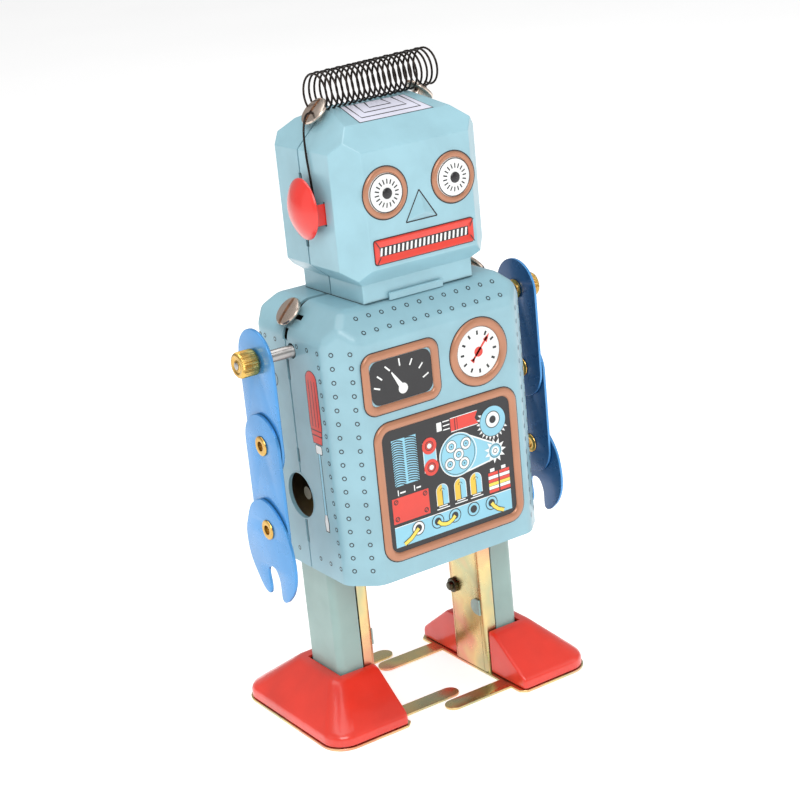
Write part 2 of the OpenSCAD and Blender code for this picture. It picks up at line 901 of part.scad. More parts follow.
module ratchet_click() {
  color([0.6, 0.6, 0.62]) union() {
    plate(great_x + gear_thick, great_x + gear_thick + 0.7) translate([arbor_y, arbor_z]) union() {
      translate([0, 5.2]) circle(0.9);
      polygon([[-0.6, 5.2], [0.6, 5.4], [2.5, 3.3], [2, 2.9]]);
    }
  }
}

module crank_shaft() {
  color([0.6, 0.6, 0.62]) rod(-crank_x - crank_thick, crank_x + crank_thick, arbor_y, crank_z, shaft_r);
}

module crank_pinion() {
  color([0.85, 0.68, 0.3]) wheel(great_x - 0.5, gear_thick + 1, pinion_teeth, crank_z, 0.5, shaft_r);
}

module crank(side) {
  color([0.62, 0.62, 0.64]) on_side(side) union() {
    difference() {
      rod(crank_x, crank_x + crank_thick, arbor_y, crank_z, crank_r);
      rod(crank_x - cut, crank_x + crank_thick + cut, arbor_y, crank_z, shaft_r);
    }
    rod(crank_x + crank_thick - 0.1, crank_pin_end, arbor_y - side * pin_y, crank_z - side * pin_z, crank_pin_r);
  }
}

module crank_right() {
  crank(-1);
}

module crank_left() {
  crank(1);
}

module third_arbor() {
  color([0.6, 0.6, 0.62]) rod(-frame_x, frame_x, arbor_y, third_z, fine_r);
}

module third_pinion() {
  color([0.85, 0.68, 0.3]) wheel(great_x - 0.5, gear_thick + 1, pinion_teeth, third_z, 0.5, fine_r);
}

module third_wheel() {
  color([0.85, 0.68, 0.3]) wheel(third_wheel_x, 1, third_teeth, third_z, 0, fine_r);
}

module escape_arbor() {
  color([0.6, 0.6, 0.62]) rod(-frame_x, frame_x, arbor_y, escape_z, fine_r);
}

module escape_pinion() {
  color([0.85, 0.68, 0.3]) wheel(third_wheel_x - 0.4, 1.8, escape_teeth, escape_z, 0.5, fine_r);
}

module escape_wheel() {
  step = 24;
  color([0.85, 0.68, 0.3]) plate(escape_wheel_x, escape_wheel_x + 1) translate([arbor_y, escape_z]) difference() {
    polygon([for (i = [0:14], k = [[4, 0], [3, 0.2]]) [k[0] * cos(step * (i + k[1])), k[0] * sin(step * (i + k[1]))]]);
    circle(fine_r);
  }
}

module verge() {
  color([0.65, 0.65, 0.67]) union() {
    plate(escape_wheel_x + 1.5, escape_wheel_x + 2.5) translate([arbor_y, verge_z]) difference() {
      union() {
        translate([-5, -0.9]) square([10, 1.8]);
        translate([-5, 0]) circle(1.6);
        translate([5, 0]) circle(1.6);
      }
      circle(fine_r);
    }
    for (y = [-2.4, 2.4])
      rod(escape_wheel_x, escape_wheel_x + 1.6, arbor_y + y, verge_z - 0.5, 0.4);
  }
}

module verge_staff() {
  color([0.6, 0.6, 0.62]) rod(-frame_x, frame_x, arbor_y, verge_z, fine_r);
}

body_front();
body_back();
bottom_plate();
head_front();
head_back();
antenna_spring();
seam_lugs();
ear_right();
ear_left();
arm_rod();
arm_hub_right();
arm_hub_left();
arm_bush_right();
upper_arm_right();
elbow_eyelet_right();
forearm_right();
wrist_eyelet_right();
hand_right();
arm_bush_left();
upper_arm_left();
elbow_eyelet_left();
forearm_left();
wrist_eyelet_left();
hand_left();
leg_cover_right();
leg_bracket_right();
leg_stud_right();
foot_shell_right();
sole_plate_right();
leg_cover_left();
leg_bracket_left();
leg_stud_left();
foot_shell_left();
sole_plate_left();
frame_plate_right();
frame_plate_left();
frame_pillars();
guide_bush_right();
guide_bush_left();
mainspring();
winding_arbor();
ratchet_wheel();
great_wheel();
ratchet_click();
crank_shaft();
crank_pinion();
crank_right();
crank_left();
third_arbor();
third_pinion();
third_wheel();
escape_arbor();
escape_pinion();
escape_wheel();
verge();
verge_staff();
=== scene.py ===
import json
import math
import bpy
import bmesh
from mathutils import Matrix, Vector


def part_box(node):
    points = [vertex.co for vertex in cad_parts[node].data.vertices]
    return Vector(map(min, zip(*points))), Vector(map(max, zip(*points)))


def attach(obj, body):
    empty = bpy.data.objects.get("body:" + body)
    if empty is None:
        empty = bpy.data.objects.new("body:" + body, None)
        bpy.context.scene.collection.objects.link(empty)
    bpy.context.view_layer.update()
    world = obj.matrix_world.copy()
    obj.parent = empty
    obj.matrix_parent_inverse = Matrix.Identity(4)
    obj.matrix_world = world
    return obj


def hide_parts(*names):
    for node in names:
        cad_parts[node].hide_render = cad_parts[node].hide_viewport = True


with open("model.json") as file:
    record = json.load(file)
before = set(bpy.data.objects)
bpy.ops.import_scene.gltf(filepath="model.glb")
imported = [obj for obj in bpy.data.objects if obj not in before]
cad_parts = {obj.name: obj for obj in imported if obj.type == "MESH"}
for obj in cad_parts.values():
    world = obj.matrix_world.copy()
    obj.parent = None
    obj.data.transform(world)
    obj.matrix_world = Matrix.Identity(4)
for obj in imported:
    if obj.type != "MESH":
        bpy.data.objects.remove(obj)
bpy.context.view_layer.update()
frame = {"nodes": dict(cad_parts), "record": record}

MM = 0.001
SHEET = 0.45
SEAM_HALF = 0.2


def span(node):
    """Lowest and highest corner of a CAD node, in millimetres."""
    lo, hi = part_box(node)
    return Vector(lo) / MM, Vector(hi) / MM


# ---------------------------------------------------------------- materials

def srgb(r, g, b):
    def lin(c):
        c = c / 255
        return c / 12.92 if c < 0.04045 else ((c + 0.055) / 1.055) ** 2.4
    return (lin(r), lin(g), lin(b), 1.0)


def noise(nt, scale, detail=2.0, stretch=(1, 1, 1)):
    coord = nt.nodes.new("ShaderNodeTexCoord")
    place = nt.nodes.new("ShaderNodeMapping")
    place.inputs["Scale"].default_value = stretch
    tex = nt.nodes.new("ShaderNodeTexNoise")
    tex.inputs["Scale"].default_value = scale
    tex.inputs["Detail"].default_value = detail
    nt.links.new(coord.outputs["Object"], place.inputs["Vector"])
    nt.links.new(place.outputs["Vector"], tex.inputs["Vector"])
    return tex.outputs[0]


def ramp(nt, source, stops):
    node = nt.nodes.new("ShaderNodeValToRGB")
    bands = node.color_ramp.elements
    while len(bands) < len(stops):
        bands.new(0.5)
    for band, (place, colour) in zip(bands, stops):
        band.position = place
        band.color = colour
    nt.links.new(source, node.inputs["Fac"])
    return node.outputs["Color"]


def spread(nt, source, low, high):
    node = nt.nodes.new("ShaderNodeMapRange")
    node.inputs["From Min"].default_value = 0.3
    node.inputs["From Max"].default_value = 0.7
    node.inputs["To Min"].default_value = low
    node.inputs["To Max"].default_value = high
    nt.links.new(source, node.inputs["Value"])
    return node.outputs["Result"]


def scaled(colour, k):
    return (min(1, colour[0] * k), min(1, colour[1] * k), min(1, colour[2] * k), 1.0)


def finish(name, stops, tone, rough, metallic=0.0, coat=0.0, waves=()):
    """A procedural finish. stops are colours along a noise of scale tone, rough its range of roughness,
    and waves are bumps as (scale, detail, height in mm, stretch)."""
    m = bpy.data.materials.new(name)
    m.use_nodes = True
    nt = m.node_tree
    bsdf = nt.nodes["Principled BSDF"]
    bsdf.inputs["Metallic"].default_value = metallic
    bsdf.inputs["Coat Weight"].default_value = coat
    bsdf.inputs["Coat Roughness"].default_value = 0.12
    scale, detail, stretch = tone
    nt.links.new(ramp(nt, noise(nt, scale, detail, stretch), stops), bsdf.inputs["Base Color"])
    nt.links.new(spread(nt, noise(nt, 260, 4.0), rough[0], rough[1]), bsdf.inputs["Roughness"])
    normal = None
    for w_scale, w_detail, height, w_stretch in waves:
        node = nt.nodes.new("ShaderNodeBump")
        node.inputs["Distance"].default_value = height * MM
        nt.links.new(noise(nt, w_scale, w_detail, w_stretch), node.inputs["Height"])
        if normal is not None:
            nt.links.new(normal, node.inputs["Normal"])
        normal = node.outputs["Normal"]
    if normal is not None:
        nt.links.new(normal, bsdf.inputs["Normal"])
        nt.links.new(normal, bsdf.inputs["Coat Normal"])
    return m


EVEN = (1, 1, 1)


def litho(name, colour, metallic=0.0, rough=(0.30, 0.40), coat=0.25):
    stops = [(0.36, scaled(colour, 0.94)), (0.52, colour), (0.68, scaled(colour, 1.05))]
    waves = [(75, 1.0, 0.30, EVEN), (1500, 2.0, 0.010, EVEN)]
    return finish(name, stops, (140, 6.0, EVEN), rough, metallic, coat, waves)


def metal(name, colours, rough, grain, stretch=EVEN, tone=(160, 4.0, EVEN), height=0.012):
    places = [0.32 + 0.36 * i / max(1, len(colours) - 1) for i in range(len(colours))]
    stops = list(zip(places, colours))
    return finish(name, stops, tone, rough, 1.0, 0.0, [(grain, 3.0, height, stretch)])


BODY = litho("litho_body", srgb(143, 184, 196))
HEAD = litho("litho_head", srgb(150, 192, 204))
COPPER = litho("print_copper", srgb(182, 126, 96), 0.3)
BLACK = litho("print_black", srgb(24, 23, 26))
WHITE = litho("print_white", srgb(236, 238, 236))
RED = litho("print_red", srgb(222, 62, 48))
SKY = litho("print_sky", srgb(140, 200, 220))
YELLOW = litho("print_yellow", srgb(240, 214, 84))
DOT = litho("print_dot", srgb(50, 62, 68))
LILAC = litho("print_lilac", srgb(225, 225, 240))
AMBER = litho("print_amber", srgb(230, 190, 60))
INSIDE = metal("tin_inside", [srgb(150, 145, 135), srgb(175, 168, 155)], (0.35, 0.5), 900)
PAINT_WAVES = [(60, 1.5, 0.35, EVEN), (420, 3.0, 0.03, EVEN)]


def paint(name, colour, coat=0.35, rough=(0.28, 0.42), tone=90, metallic=0.0):
    stops = [(0.34, scaled(colour, 0.90)), (0.5, colour), (0.66, scaled(colour, 1.08))]
    return finish(name, stops, (tone, 5.0, EVEN), rough, metallic, coat, PAINT_WAVES)


FOOT_RED = paint("paint_foot", srgb(226, 52, 34), 0.6)
EAR_RED = paint("paint_ear", srgb(222, 44, 34), 0.6)
PLATE_RED = paint("paint_plate", srgb(205, 52, 44), 0.4)
# darker blue for the arms' faces towards the body: painted shade where the body keeps the light off
ARM_PAINTED_SHADE = paint("paint_arm_inner_painted_shade", srgb(24, 78, 128), 0.35, (0.24, 0.34), 90, 0.35)
ARM_BLUE = paint("paint_arm", srgb(70, 146, 208), 0.35, (0.24, 0.34), 90, 0.35)
LEG_GREY = paint("paint_leg", srgb(146, 176, 170), 0.2)
ZINC_TONES = [srgb(206, 172, 112), srgb(222, 158, 130), srgb(222, 200, 142), srgb(190, 188, 146),
              srgb(224, 176, 138)]
ZINC = metal("zinc_yellow", ZINC_TONES, (0.22, 0.36), 700, (1, 1, 0.2), (55, 3.0, EVEN))
BRASS = metal("brass", [srgb(196, 152, 78), srgb(222, 184, 104)], (0.20, 0.32), 1200, (6, 1, 1))
STEEL = metal("steel", [srgb(150, 148, 146), srgb(186, 184, 182)], (0.22, 0.34), 1100, (1, 6, 6))
DARK_STEEL = metal("dark_steel", [srgb(70, 68, 58), srgb(104, 100, 84)], (0.3, 0.45), 900)
SPRING = metal("spring_steel", [srgb(70, 74, 90), srgb(96, 100, 112)], (0.25, 0.38), 900)
WIRE = metal("black_wire", [srgb(34, 30, 29), srgb(62, 54, 50)], (0.24, 0.38), 1500, (1, 1, 1),
             (300, 3.0, EVEN))
TIN = metal("tinplate", [srgb(196, 170, 152), srgb(222, 208, 196)], (0.22, 0.36), 900)


# ---------------------------------------------------------------- mesh tools

def finish_object(name, bm, mats, sharp=38):
    """A mesh object from millimetres, shaded smooth except at edges sharper than the angle."""
    bmesh.ops.remove_doubles(bm, verts=bm.verts[:], dist=1e-5)
    for v in bm.verts:
        v.co *= MM
    for f in bm.faces:
        f.smooth = True
    limit = math.radians(sharp)
    for e in bm.edges:
        if len(e.link_faces) == 2 and e.calc_face_angle(0) > limit:
            e.smooth = False
    mesh = bpy.data.meshes.new(name)
    bm.to_mesh(mesh)
    bm.free()
    for m in mats if isinstance(mats, (list, tuple)) else [mats]:
        mesh.materials.append(m)
    obj = bpy.data.objects.new(name, mesh)
    bpy.context.scene.collection.objects.link(obj)
    return obj


def put(obj, body, slot, *nodes):
    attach(obj, body)
    if nodes:
        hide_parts(*nodes)
    return obj


def flipped(bm):
    for v in bm.verts:
        v.co.x = -v.co.x
    bmesh.ops.reverse_faces(bm, faces=bm.faces[:])
    return bm


def on_side(bm, side):
    return flipped(bm) if side < 0 else bm


def moved(bm, x=0.0, y=0.0, z=0.0):
    bmesh.ops.translate(bm, vec=(x, y, z), verts=bm.verts[:])
    return bm


def add(bm, other):
    """Adds another bmesh's faces, with their material numbers."""
    mesh = bpy.data.meshes.new("join")
    other.to_mesh(mesh)
    other.free()
    bm.from_mesh(mesh)
    bpy.data.meshes.remove(mesh)
    return bm


def convex_sides(points, lift):
    """Planes of a convex outline; lift turns outline coordinates into a point."""
    cx = sum(p[0] for p in points) / len(points)
    cy = sum(p[1] for p in points) / len(points)
    out = []
    for a, b in zip(points, points[1:] + points[:1]):
        n = (b[1] - a[1], a[0] - b[0])
        if (a[0] - cx) * n[0] + (a[1] - cy) * n[1] < 0:
            n = (-n[0], -n[1])
        out.append((lift(a), lift(n)))
    return out


def block(plan, front, side):
    """Convex block with its plan (x, y), front view (x, z) and side view (y, z)."""
    planes = convex_sides(plan, lambda p: (p[0], p[1], 0))
    planes += convex_sides(front, lambda p: (p[0], 0, p[1]))
    planes += convex_sides(side, lambda p: (0, p[0], p[1]))
    bm = bmesh.new()
    bmesh.ops.create_cube(bm, size=600)
    for point, normal in planes:
        geom = bm.verts[:] + bm.edges[:] + bm.faces[:]
        cut = bmesh.ops.bisect_plane(bm, geom=geom, dist=1e-4, plane_co=point, plane_no=normal,
                                     clear_outer=True)
        rim = [e for e in cut["geom_cut"] if isinstance(e, bmesh.types.BMEdge) and len(e.link_faces) < 2]
        if rim:
            bmesh.ops.holes_fill(bm, edges=rim, sides=0)
    bmesh.ops.remove_doubles(bm, verts=bm.verts[:], dist=1e-3)
    bmesh.ops.dissolve_limit(bm, angle_limit=0.01, verts=bm.verts[:], edges=bm.edges[:])
    return bm


def soften(bm, radius, keep=None, segments=4):
    edges = [e for e in bm.edges if keep is None or not keep(e)]
    bmesh.ops.bevel(bm, geom=edges, offset=radius, offset_type="OFFSET", segments=segments, profile=0.5,
                    affect="EDGES", clamp_overlap=True)
    return bm


def drop_faces(bm, test):
    bmesh.ops.delete(bm, geom=[f for f in bm.faces if test(f)], context="FACES")
    return bm


def keep_side(bm, point, normal):
    """Cuts off what lies beyond a plane, and leaves the cut open."""
    geom = bm.verts[:] + bm.edges[:] + bm.faces[:]
    bmesh.ops.bisect_plane(bm, geom=geom, dist=1e-4, plane_co=point, plane_no=normal, clear_outer=True)
    return bm


def apply_modifiers(obj):
    graph = bpy.context.evaluated_depsgraph_get()
    mesh = bpy.data.meshes.new_from_object(obj.evaluated_get(graph))
    obj.modifiers.clear()
    obj.data = mesh
    return obj


def thicken(obj, sheet=SHEET, inner=None):
    mod = obj.modifiers.new("sheet", "SOLIDIFY")
    mod.thickness = sheet * MM
    mod.offset = -1
    mod.use_even_offset = True
    if inner is not None:
        obj.data.materials.append(inner)
        mod.material_offset = 1
    return apply_modifiers(obj)


def cut_out(obj, *cutters):
    """Cuts the cutters' shapes, given as bmeshes in millimetres, out of a closed object."""
    for bm in cutters:
        tool = finish_object("cutter", bm, obj.data.materials[0])
        mod = obj.modifiers.new("cut", "BOOLEAN")
        mod.operation = "DIFFERENCE"
        mod.solver = "EXACT"
        mod.object = tool
        bpy.context.view_layer.update()
        apply_modifiers(obj)
        bpy.data.objects.remove(tool)
    return resharpen(obj)


def resharpen(obj, sharp=38):
    bm = bmesh.new()
    bm.from_mesh(obj.data)
    bmesh.ops.remove_doubles(bm, verts=bm.verts[:], dist=2e-7)
    limit = math.radians(sharp)
    for f in bm.faces:
        f.smooth = True
    for e in bm.edges:
        e.smooth = not (len(e.link_faces) == 2 and e.calc_face_angle(0) > limit)
    bm.to_mesh(obj.data)
    bm.free()
    return obj


def weighted(obj):
    mod = obj.modifiers.new("normals", "WEIGHTED_NORMAL")
    mod.keep_sharp = True
    mod.weight = 60
    return obj


def box_bm(x0, x1, y0, y1, z0, z1, radius=0.0):
    bm = bmesh.new()
    bmesh.ops.create_cube(bm, size=1)
    for v in bm.verts:
        v.co = Vector((x0 if v.co.x < 0 else x1, y0 if v.co.y < 0 else y1, z0 if v.co.z < 0 else z1))
    if radius:
        soften(bm, radius, segments=3)
    return bm


def loft(rings, closed=True, start=False, end=False):
    """Skin over rings of points with equal counts, with optional flat ends."""
    bm = bmesh.new()
    rows = [[bm.verts.new(p) for p in ring] for ring in rings]
    count = len(rows[0])
    for a, b in zip(rows, rows[1:]):
        for i in range(count if closed else count - 1):
            j = (i + 1) % count
            bm.faces.new((a[i], a[j], b[j], b[i]))
    if start:
        bm.faces.new(list(reversed(rows[0])))
    if end:
        bm.faces.new(rows[-1])
    return bm


def circle(cx, cy, r, count=32, first=0.0):
    return [(cx + r * math.cos(first + 2 * math.pi * i / count),
             cy + r * math.sin(first + 2 * math.pi * i / count))
            for i in range(count)]


def turned_rings(profile, y, z, segments, knurl, depth):
    """Rings round X for a profile of (x, radius); knurl cuts that many grooves."""
    top = max(p[1] for p in profile)
    rings = []
    for x, r in profile:
        ring = []
        for i in range(segments):
            a = 2 * math.pi * i / segments
            cut = depth * (0.5 - 0.5 * math.cos(knurl * a)) if knurl and r > 0.9 * top else 0
            ring.append((x, y + (r - cut) * math.cos(a), z + (r - cut) * math.sin(a)))
        rings.append(ring)
    return rings


def rod(profile, y, z, segments=32, knurl=0, depth=0.0):
    """Turned piece along X with closed ends."""
    bm = loft(turned_rings(profile, y, z, segments, knurl, depth), start=True, end=True)
    bmesh.ops.recalc_face_normals(bm, faces=bm.faces[:])
    return bm


def ring_rod(profile, y, z, segments=32, knurl=0, depth=0.0):
    """Turned piece along X whose profile is a closed loop, so it has a bore."""
    bm = loft(turned_rings(profile + profile[:1], y, z, segments, knurl, depth))
    bmesh.ops.remove_doubles(bm, verts=bm.verts[:], dist=1e-4)
    bmesh.ops.recalc_face_normals(bm, faces=bm.faces[:])
    return bm


def tube(path, r, sides=8):
    """Round wire along a path of points."""
    points = [Vector(p) for p in path]
    rings = []
    up = Vector((0, 0, 1))
    for i, p in enumerate(points):
        ahead = points[min(i + 1, len(points) - 1)] - points[max(i - 1, 0)]
        ahead.normalize()
        u = up - ahead * up.dot(ahead)
        if u.length < 1e-4:
            u = Vector((1, 0, 0)) - ahead * ahead.x
        u.normalize()
        w = ahead.cross(u)
        up = u
        rings.append([p + r * (math.cos(2 * math.pi * k / sides) * u + math.sin(2 * math.pi * k / sides) * w)
                      for k in range(sides)])
    bm = loft(rings, start=True, end=True)
    bmesh.ops.recalc_face_normals(bm, faces=bm.faces[:])
    return bm


def smooth_path(points, steps=8):
    """Catmull-Rom curve through points."""
    pts = [Vector(p) for p in points]
    pts = [pts[0] * 2 - pts[1]] + pts + [pts[-1] * 2 - pts[-2]]
    out = []
    for i in range(1, len(pts) - 2):
        a, b, c, d = pts[i - 1], pts[i], pts[i + 1], pts[i + 2]
        for k in range(steps):
            t = k / steps
            out.append(0.5 * (2 * b + (c - a) * t + (2 * a - 5 * b + 4 * c - d) * t * t
                              + (3 * b - a - 3 * c + d) * t ** 3))
    out.append(pts[-2])
    return out


def sheet_plate(outlines, thickness, radius, place):
    """Flat stamped piece with holes. outlines are closed loops in (u, v), the first the outer one;
    place turns (u, v, height) into a point. Its edges are rounded by the radius."""
    curve = bpy.data.curves.new("plate", "CURVE")
    curve.dimensions = "2D"
    curve.fill_mode = "BOTH"
    for loop in outlines:
        spline = curve.splines.new("POLY")
        spline.points.add(len(loop) - 1)
        for p, (u, v) in zip(spline.points, loop):
            p.co = (u, v, 0, 1)
        spline.use_cyclic_u = True
    curve.extrude = thickness / 2 - radius
    curve.bevel_depth = radius
    curve.bevel_resolution = 2
    curve.offset = -radius
    obj = bpy.data.objects.new("plate", curve)
    bpy.context.scene.collection.objects.link(obj)
    graph = bpy.context.evaluated_depsgraph_get()
    mesh = bpy.data.meshes.new_from_object(obj.evaluated_get(graph))
    bm = bmesh.new()
    bm.from_mesh(mesh)
    bpy.data.objects.remove(obj)
    bpy.data.curves.remove(curve)
    bpy.data.meshes.remove(mesh)
    bmesh.ops.remove_doubles(bm, verts=bm.verts[:], dist=1e-4)
    for v in bm.verts:
        v.co = Vector(place(v.co.x, v.co.y, v.co.z))
    bmesh.ops.recalc_face_normals(bm, faces=bm.faces[:])
    return bm


def rounded(x0, x1, y0, y1, r, steps=6):
    """Rectangle with round corners."""
    out = []
    for cx, cy, a0 in ((x1 - r, y1 - r, 0), (x0 + r, y1 - r, 90), (x0 + r, y0 + r, 180),
                       (x1 - r, y0 + r, 270)):
        for i in range(steps + 1):
            a = math.radians(a0 + 90 * i / steps)
            out.append((cx + r * math.cos(a), cy + r * math.sin(a)))
    return out


def arc(cx, cy, r, a0, a1, steps=12):
    return [(cx + r * math.cos(math.radians(a0 + (a1 - a0) * i / steps)),
             cy + r * math.sin(math.radians(a0 + (a1 - a0) * i / steps))) for i in range(steps + 1)]


# ---------------------------------------------------------------- printed art

INKS = [BLACK, WHITE, RED, SKY, YELLOW, COPPER, DOT, BODY, LILAC, AMBER]
K, W, R, S, Y, C, D, B, L, A = range(10)


class Print:
    """Printed shapes on a face. u and v run along the face, n points out of it."""

    def __init__(self, origin, u, v, n, surface=None):
        self.o = Vector(origin)
        self.u = Vector(u)
        self.v = Vector(v)
        self.n = Vector(n)
        self.surface = surface
        self.bm = bmesh.new()

    def at(self, u, v, layer):
        h = self.surface(u, v) if self.surface else 0
        return self.o + self.u * u + self.v * v + self.n * (0.025 + 0.014 * layer + h)

    def poly(self, ink, points, layer=0):
        verts = [self.bm.verts.new(self.at(p[0], p[1], layer)) for p in points]
        face = self.bm.faces.new(verts)
        face.material_index = ink
        face.normal_update()
        if face.normal.dot(self.n) < 0:
            face.normal_flip()

    def strip(self, ink, left, right, layer=0, closed=False):
        """Band between two lines of points."""
        a = [self.bm.verts.new(self.at(p[0], p[1], layer)) for p in left]
        b = [self.bm.verts.new(self.at(p[0], p[1], layer)) for p in right]
        count = len(a) if closed else len(a) - 1
        for i in range(count):
            j = (i + 1) % len(a)
            face = self.bm.faces.new((a[i], a[j], b[j], b[i]))
            face.material_index = ink
            face.normal_update()
            if face.normal.dot(self.n) < 0:
                face.normal_flip()

    def disc(self, ink, x, z, r, layer=0, count=24):
        self.poly(ink, circle(x, z, r, count), layer)

    def ring(self, ink, x, z, r0, r1, layer=0, count=32):
        self.strip(ink, circle(x, z, r0, count), circle(x, z, r1, count), layer, True)

    def rect(self, ink, x0, x1, z0, z1, layer=0):
        self.poly(ink, [(x0, z0), (x1, z0), (x1, z1), (x0, z1)], layer)

    def box(self, ink, x0, x1, z0, z1, r, layer=0):
        self.poly(ink, rounded(x0, x1, z0, z1, r), layer)

    def frame(self, ink, x0, x1, z0, z1, r, w, layer=0):
        self.strip(ink, rounded(x0, x1, z0, z1, r),
                   rounded(x0 + w, x1 - w, z0 + w, z1 - w, max(0.05, r - w)), layer, True)

    def line(self, ink, points, w, layer=0, w_end=None):
        """Polyline with a width, or with a width that tapers."""
        w_end = w if w_end is None else w_end
        left = []
        right = []
        last = len(points) - 1
        for i, p in enumerate(points):
            a = points[max(i - 1, 0)]
            b = points[min(i + 1, last)]
            d = Vector((b[0] - a[0], b[1] - a[1]))
            d.normalize()
            half = (w + (w_end - w) * i / last) / 2
            left.append((p[0] - d.y * half, p[1] + d.x * half))
            right.append((p[0] + d.y * half, p[1] - d.x * half))
        self.strip(ink, left, right, layer)

    def star(self, ink, x, z, r0, r1, teeth, layer=0, first=0.0):
        points = []
        for i in range(teeth * 2):
            a = first + math.pi * i / teeth
            r = r1 if i % 2 == 0 else r0
            points.append((x + r * math.cos(a), z + r * math.sin(a)))
        self.poly(ink, points, layer)

    def outlined(self, ink, x0, x1, z0, z1, r, layer, w=0.14, edge=K):
        """Filled shape with a thin outline."""
        self.box(edge, x0 - w, x1 + w, z0 - w, z1 + w, r + w, layer)
        self.box(ink, x0, x1, z0, z1, r, layer + 1)

    def dot(self, x, z, layer=0):
        self.disc(D, x, z, 0.46, layer, 16)
        self.disc(B, x, z, 0.26, layer + 1, 12)

    def done(self, name, body, slot):
        obj = finish_object(name, self.bm, INKS)
        return put(obj, body, slot)


def rim_loft(outline, profile, y):
    """Embossed rim on a face that looks along -Y. outline(inset) gives (x, z) points,
    and profile is a list of (inset, height)."""
    rings = []
    for inset, height in profile:
        rings.append([(p[0], y - height, p[1]) for p in outline(inset)])
    bm = loft(rings)
    for f in bm.faces:
        f.normal_update()
    if sum(f.normal.y * f.calc_area() for f in bm.faces) > 0:
        bmesh.ops.reverse_faces(bm, faces=bm.faces[:])
    return bm


# ---------------------------------------------------------------- body shells

back_lo, back_hi = span("body_back")
body_x = back_hi.x
body_y = back_hi.y
body_low = back_lo.z
body_top = back_hi.z
seam_y = back_lo.y - 0.15
chamfer = 4.7
bevel = 4.8
neck_x = 12.0
# slits along the side seams: low end, high end, width
SLITS = [(77.2, 79.4, 1.6), (69.6, 73.6, 0.9), (59.0, 69.6, 0.5), (53.5, 56.3, 0.9), (37.4, 42.6, 0.9)]
rod_lo, rod_hi = span("arm_rod")
rod_y = (rod_lo.y + rod_hi.y) / 2
rod_z = (rod_lo.z + rod_hi.z) / 2
arbor_lo, arbor_hi = span("winding_arbor")
arbor_y = (arbor_lo.y + arbor_hi.y) / 2
arbor_z = (arbor_lo.z + arbor_hi.z) / 2


def chamfered(x, y0, y1, k):
    return [(-x, y0 + k), (-x + k, y0), (x - k, y0), (x, y0 + k), (x, y1 - k), (x - k, y1), (-x + k, y1),
            (-x, y1 - k)]


def body_block():
    top = [(-body_x, body_low), (body_x, body_low), (body_x, body_top - bevel), (body_x - bevel, body_top),
           (-body_x + bevel, body_top), (-body_x, body_top - bevel)]
    side = [(-body_y, body_low), (body_y, body_low), (body_y, body_top - bevel), (body_y - bevel, body_top),
            (-body_y + bevel, body_top), (-body_y, body_top - bevel)]
    bm = block(chamfered(body_x, -body_y, body_y, chamfer), top, side)
    low = body_low + 0.01
    soften(bm, 1.3, lambda e: all(v.co.z < low for v in e.verts), 5)
    return drop_faces(bm, lambda f: all(v.co.z < low for v in f.verts))


def body_half(name, node, sign):
    bm = body_block()
    keep_side(bm, (0, seam_y + sign * SEAM_HALF, 0), (0, -sign, 0))
    obj = thicken(finish_object(name, bm, [BODY], 50), SHEET, INSIDE)
    key = rod([(-body_x - 3, 4.4), (-body_x + 3, 4.4)], arbor_y, arbor_z, 48)
    hole = rod([(-60, 1.45), (60, 1.45)], rod_y, rod_z, 32)
    cuts = [key, hole]
    for side in (-1, 1):
        for low, high, wide in SLITS:
            x = side * body_x
            cuts.append(box_bm(x - 2, x + 2, seam_y - wide / 2, seam_y + wide / 2, low, high))
        x = side * (neck_x + 3.2)
        cuts.append(box_bm(x - 3.1, x + 3.1, seam_y - 0.6, seam_y + 0.6, body_top - 2, body_top + 1))
    for side in (-1, 1):
        slot = box_bm(-0.5, 0.5, -3.0, 3.0, -3, 3)
        turn = Matrix.Rotation(side * math.radians(45), 4, "Y")
        bmesh.ops.transform(slot, matrix=turn, verts=slot.verts[:])
        cuts.append(moved(slot, side * (body_x - bevel / 2), seam_y, body_top - bevel / 2))
    cut_out(obj, *cuts)
    return put(weighted(obj), "torso", "body_litho", node)


body_half("shell_front", "body_front", -1)
body_half("shell_back", "body_back", 1)

# rolled lip round the key hole
lip = [(-body_x - 0.02, 4.4), (-body_x - 0.07, 4.46), (-body_x - 0.08, 4.6), (-body_x - 0.04, 4.75),
       (-body_x + 0.1, 4.8),
       (-body_x + 0.7, 4.42)]
put(finish_object("key_hole_lip", ring_rod(lip, arbor_y, arbor_z, 48), [BODY]), "torso", "body_litho")

# embossed bezels
front_rims = bmesh.new()
BEZEL = [(0.0, -0.1), (0.08, 0.22), (0.3, 0.42), (0.62, 0.5), (1.05, 0.5), (1.36, 0.42), (1.58, 0.2),
         (1.7, -0.1)]


def bezel(x0, x1, z0, z1, r, wide=1.0):
    def outline(i):
        i = i * wide
        return rounded(x0 + i, x1 - i, z0 + i, z1 - i, max(0.4, r - i * 0.85), 8)
    return rim_loft(outline, BEZEL, -body_y)


add(front_rims, bezel(-15.96, 15.96, 35.75, 62.7, 3.3))
add(front_rims, bezel(-17.1, -0.42, 64.5, 76.1, 2.4))
dial_x, dial_z, dial_r = 8.46, 70.78, 6.45
add(front_rims, rim_loft(lambda i: circle(dial_x, dial_z, dial_r - i, 64), BEZEL, -body_y))
put(finish_object("front_bezels", front_rims, [COPPER]), "torso", "body_litho")

art = Print((0, -body_y, 0), (1, 0, 0), (0, 0, 1), (0, -1, 0))

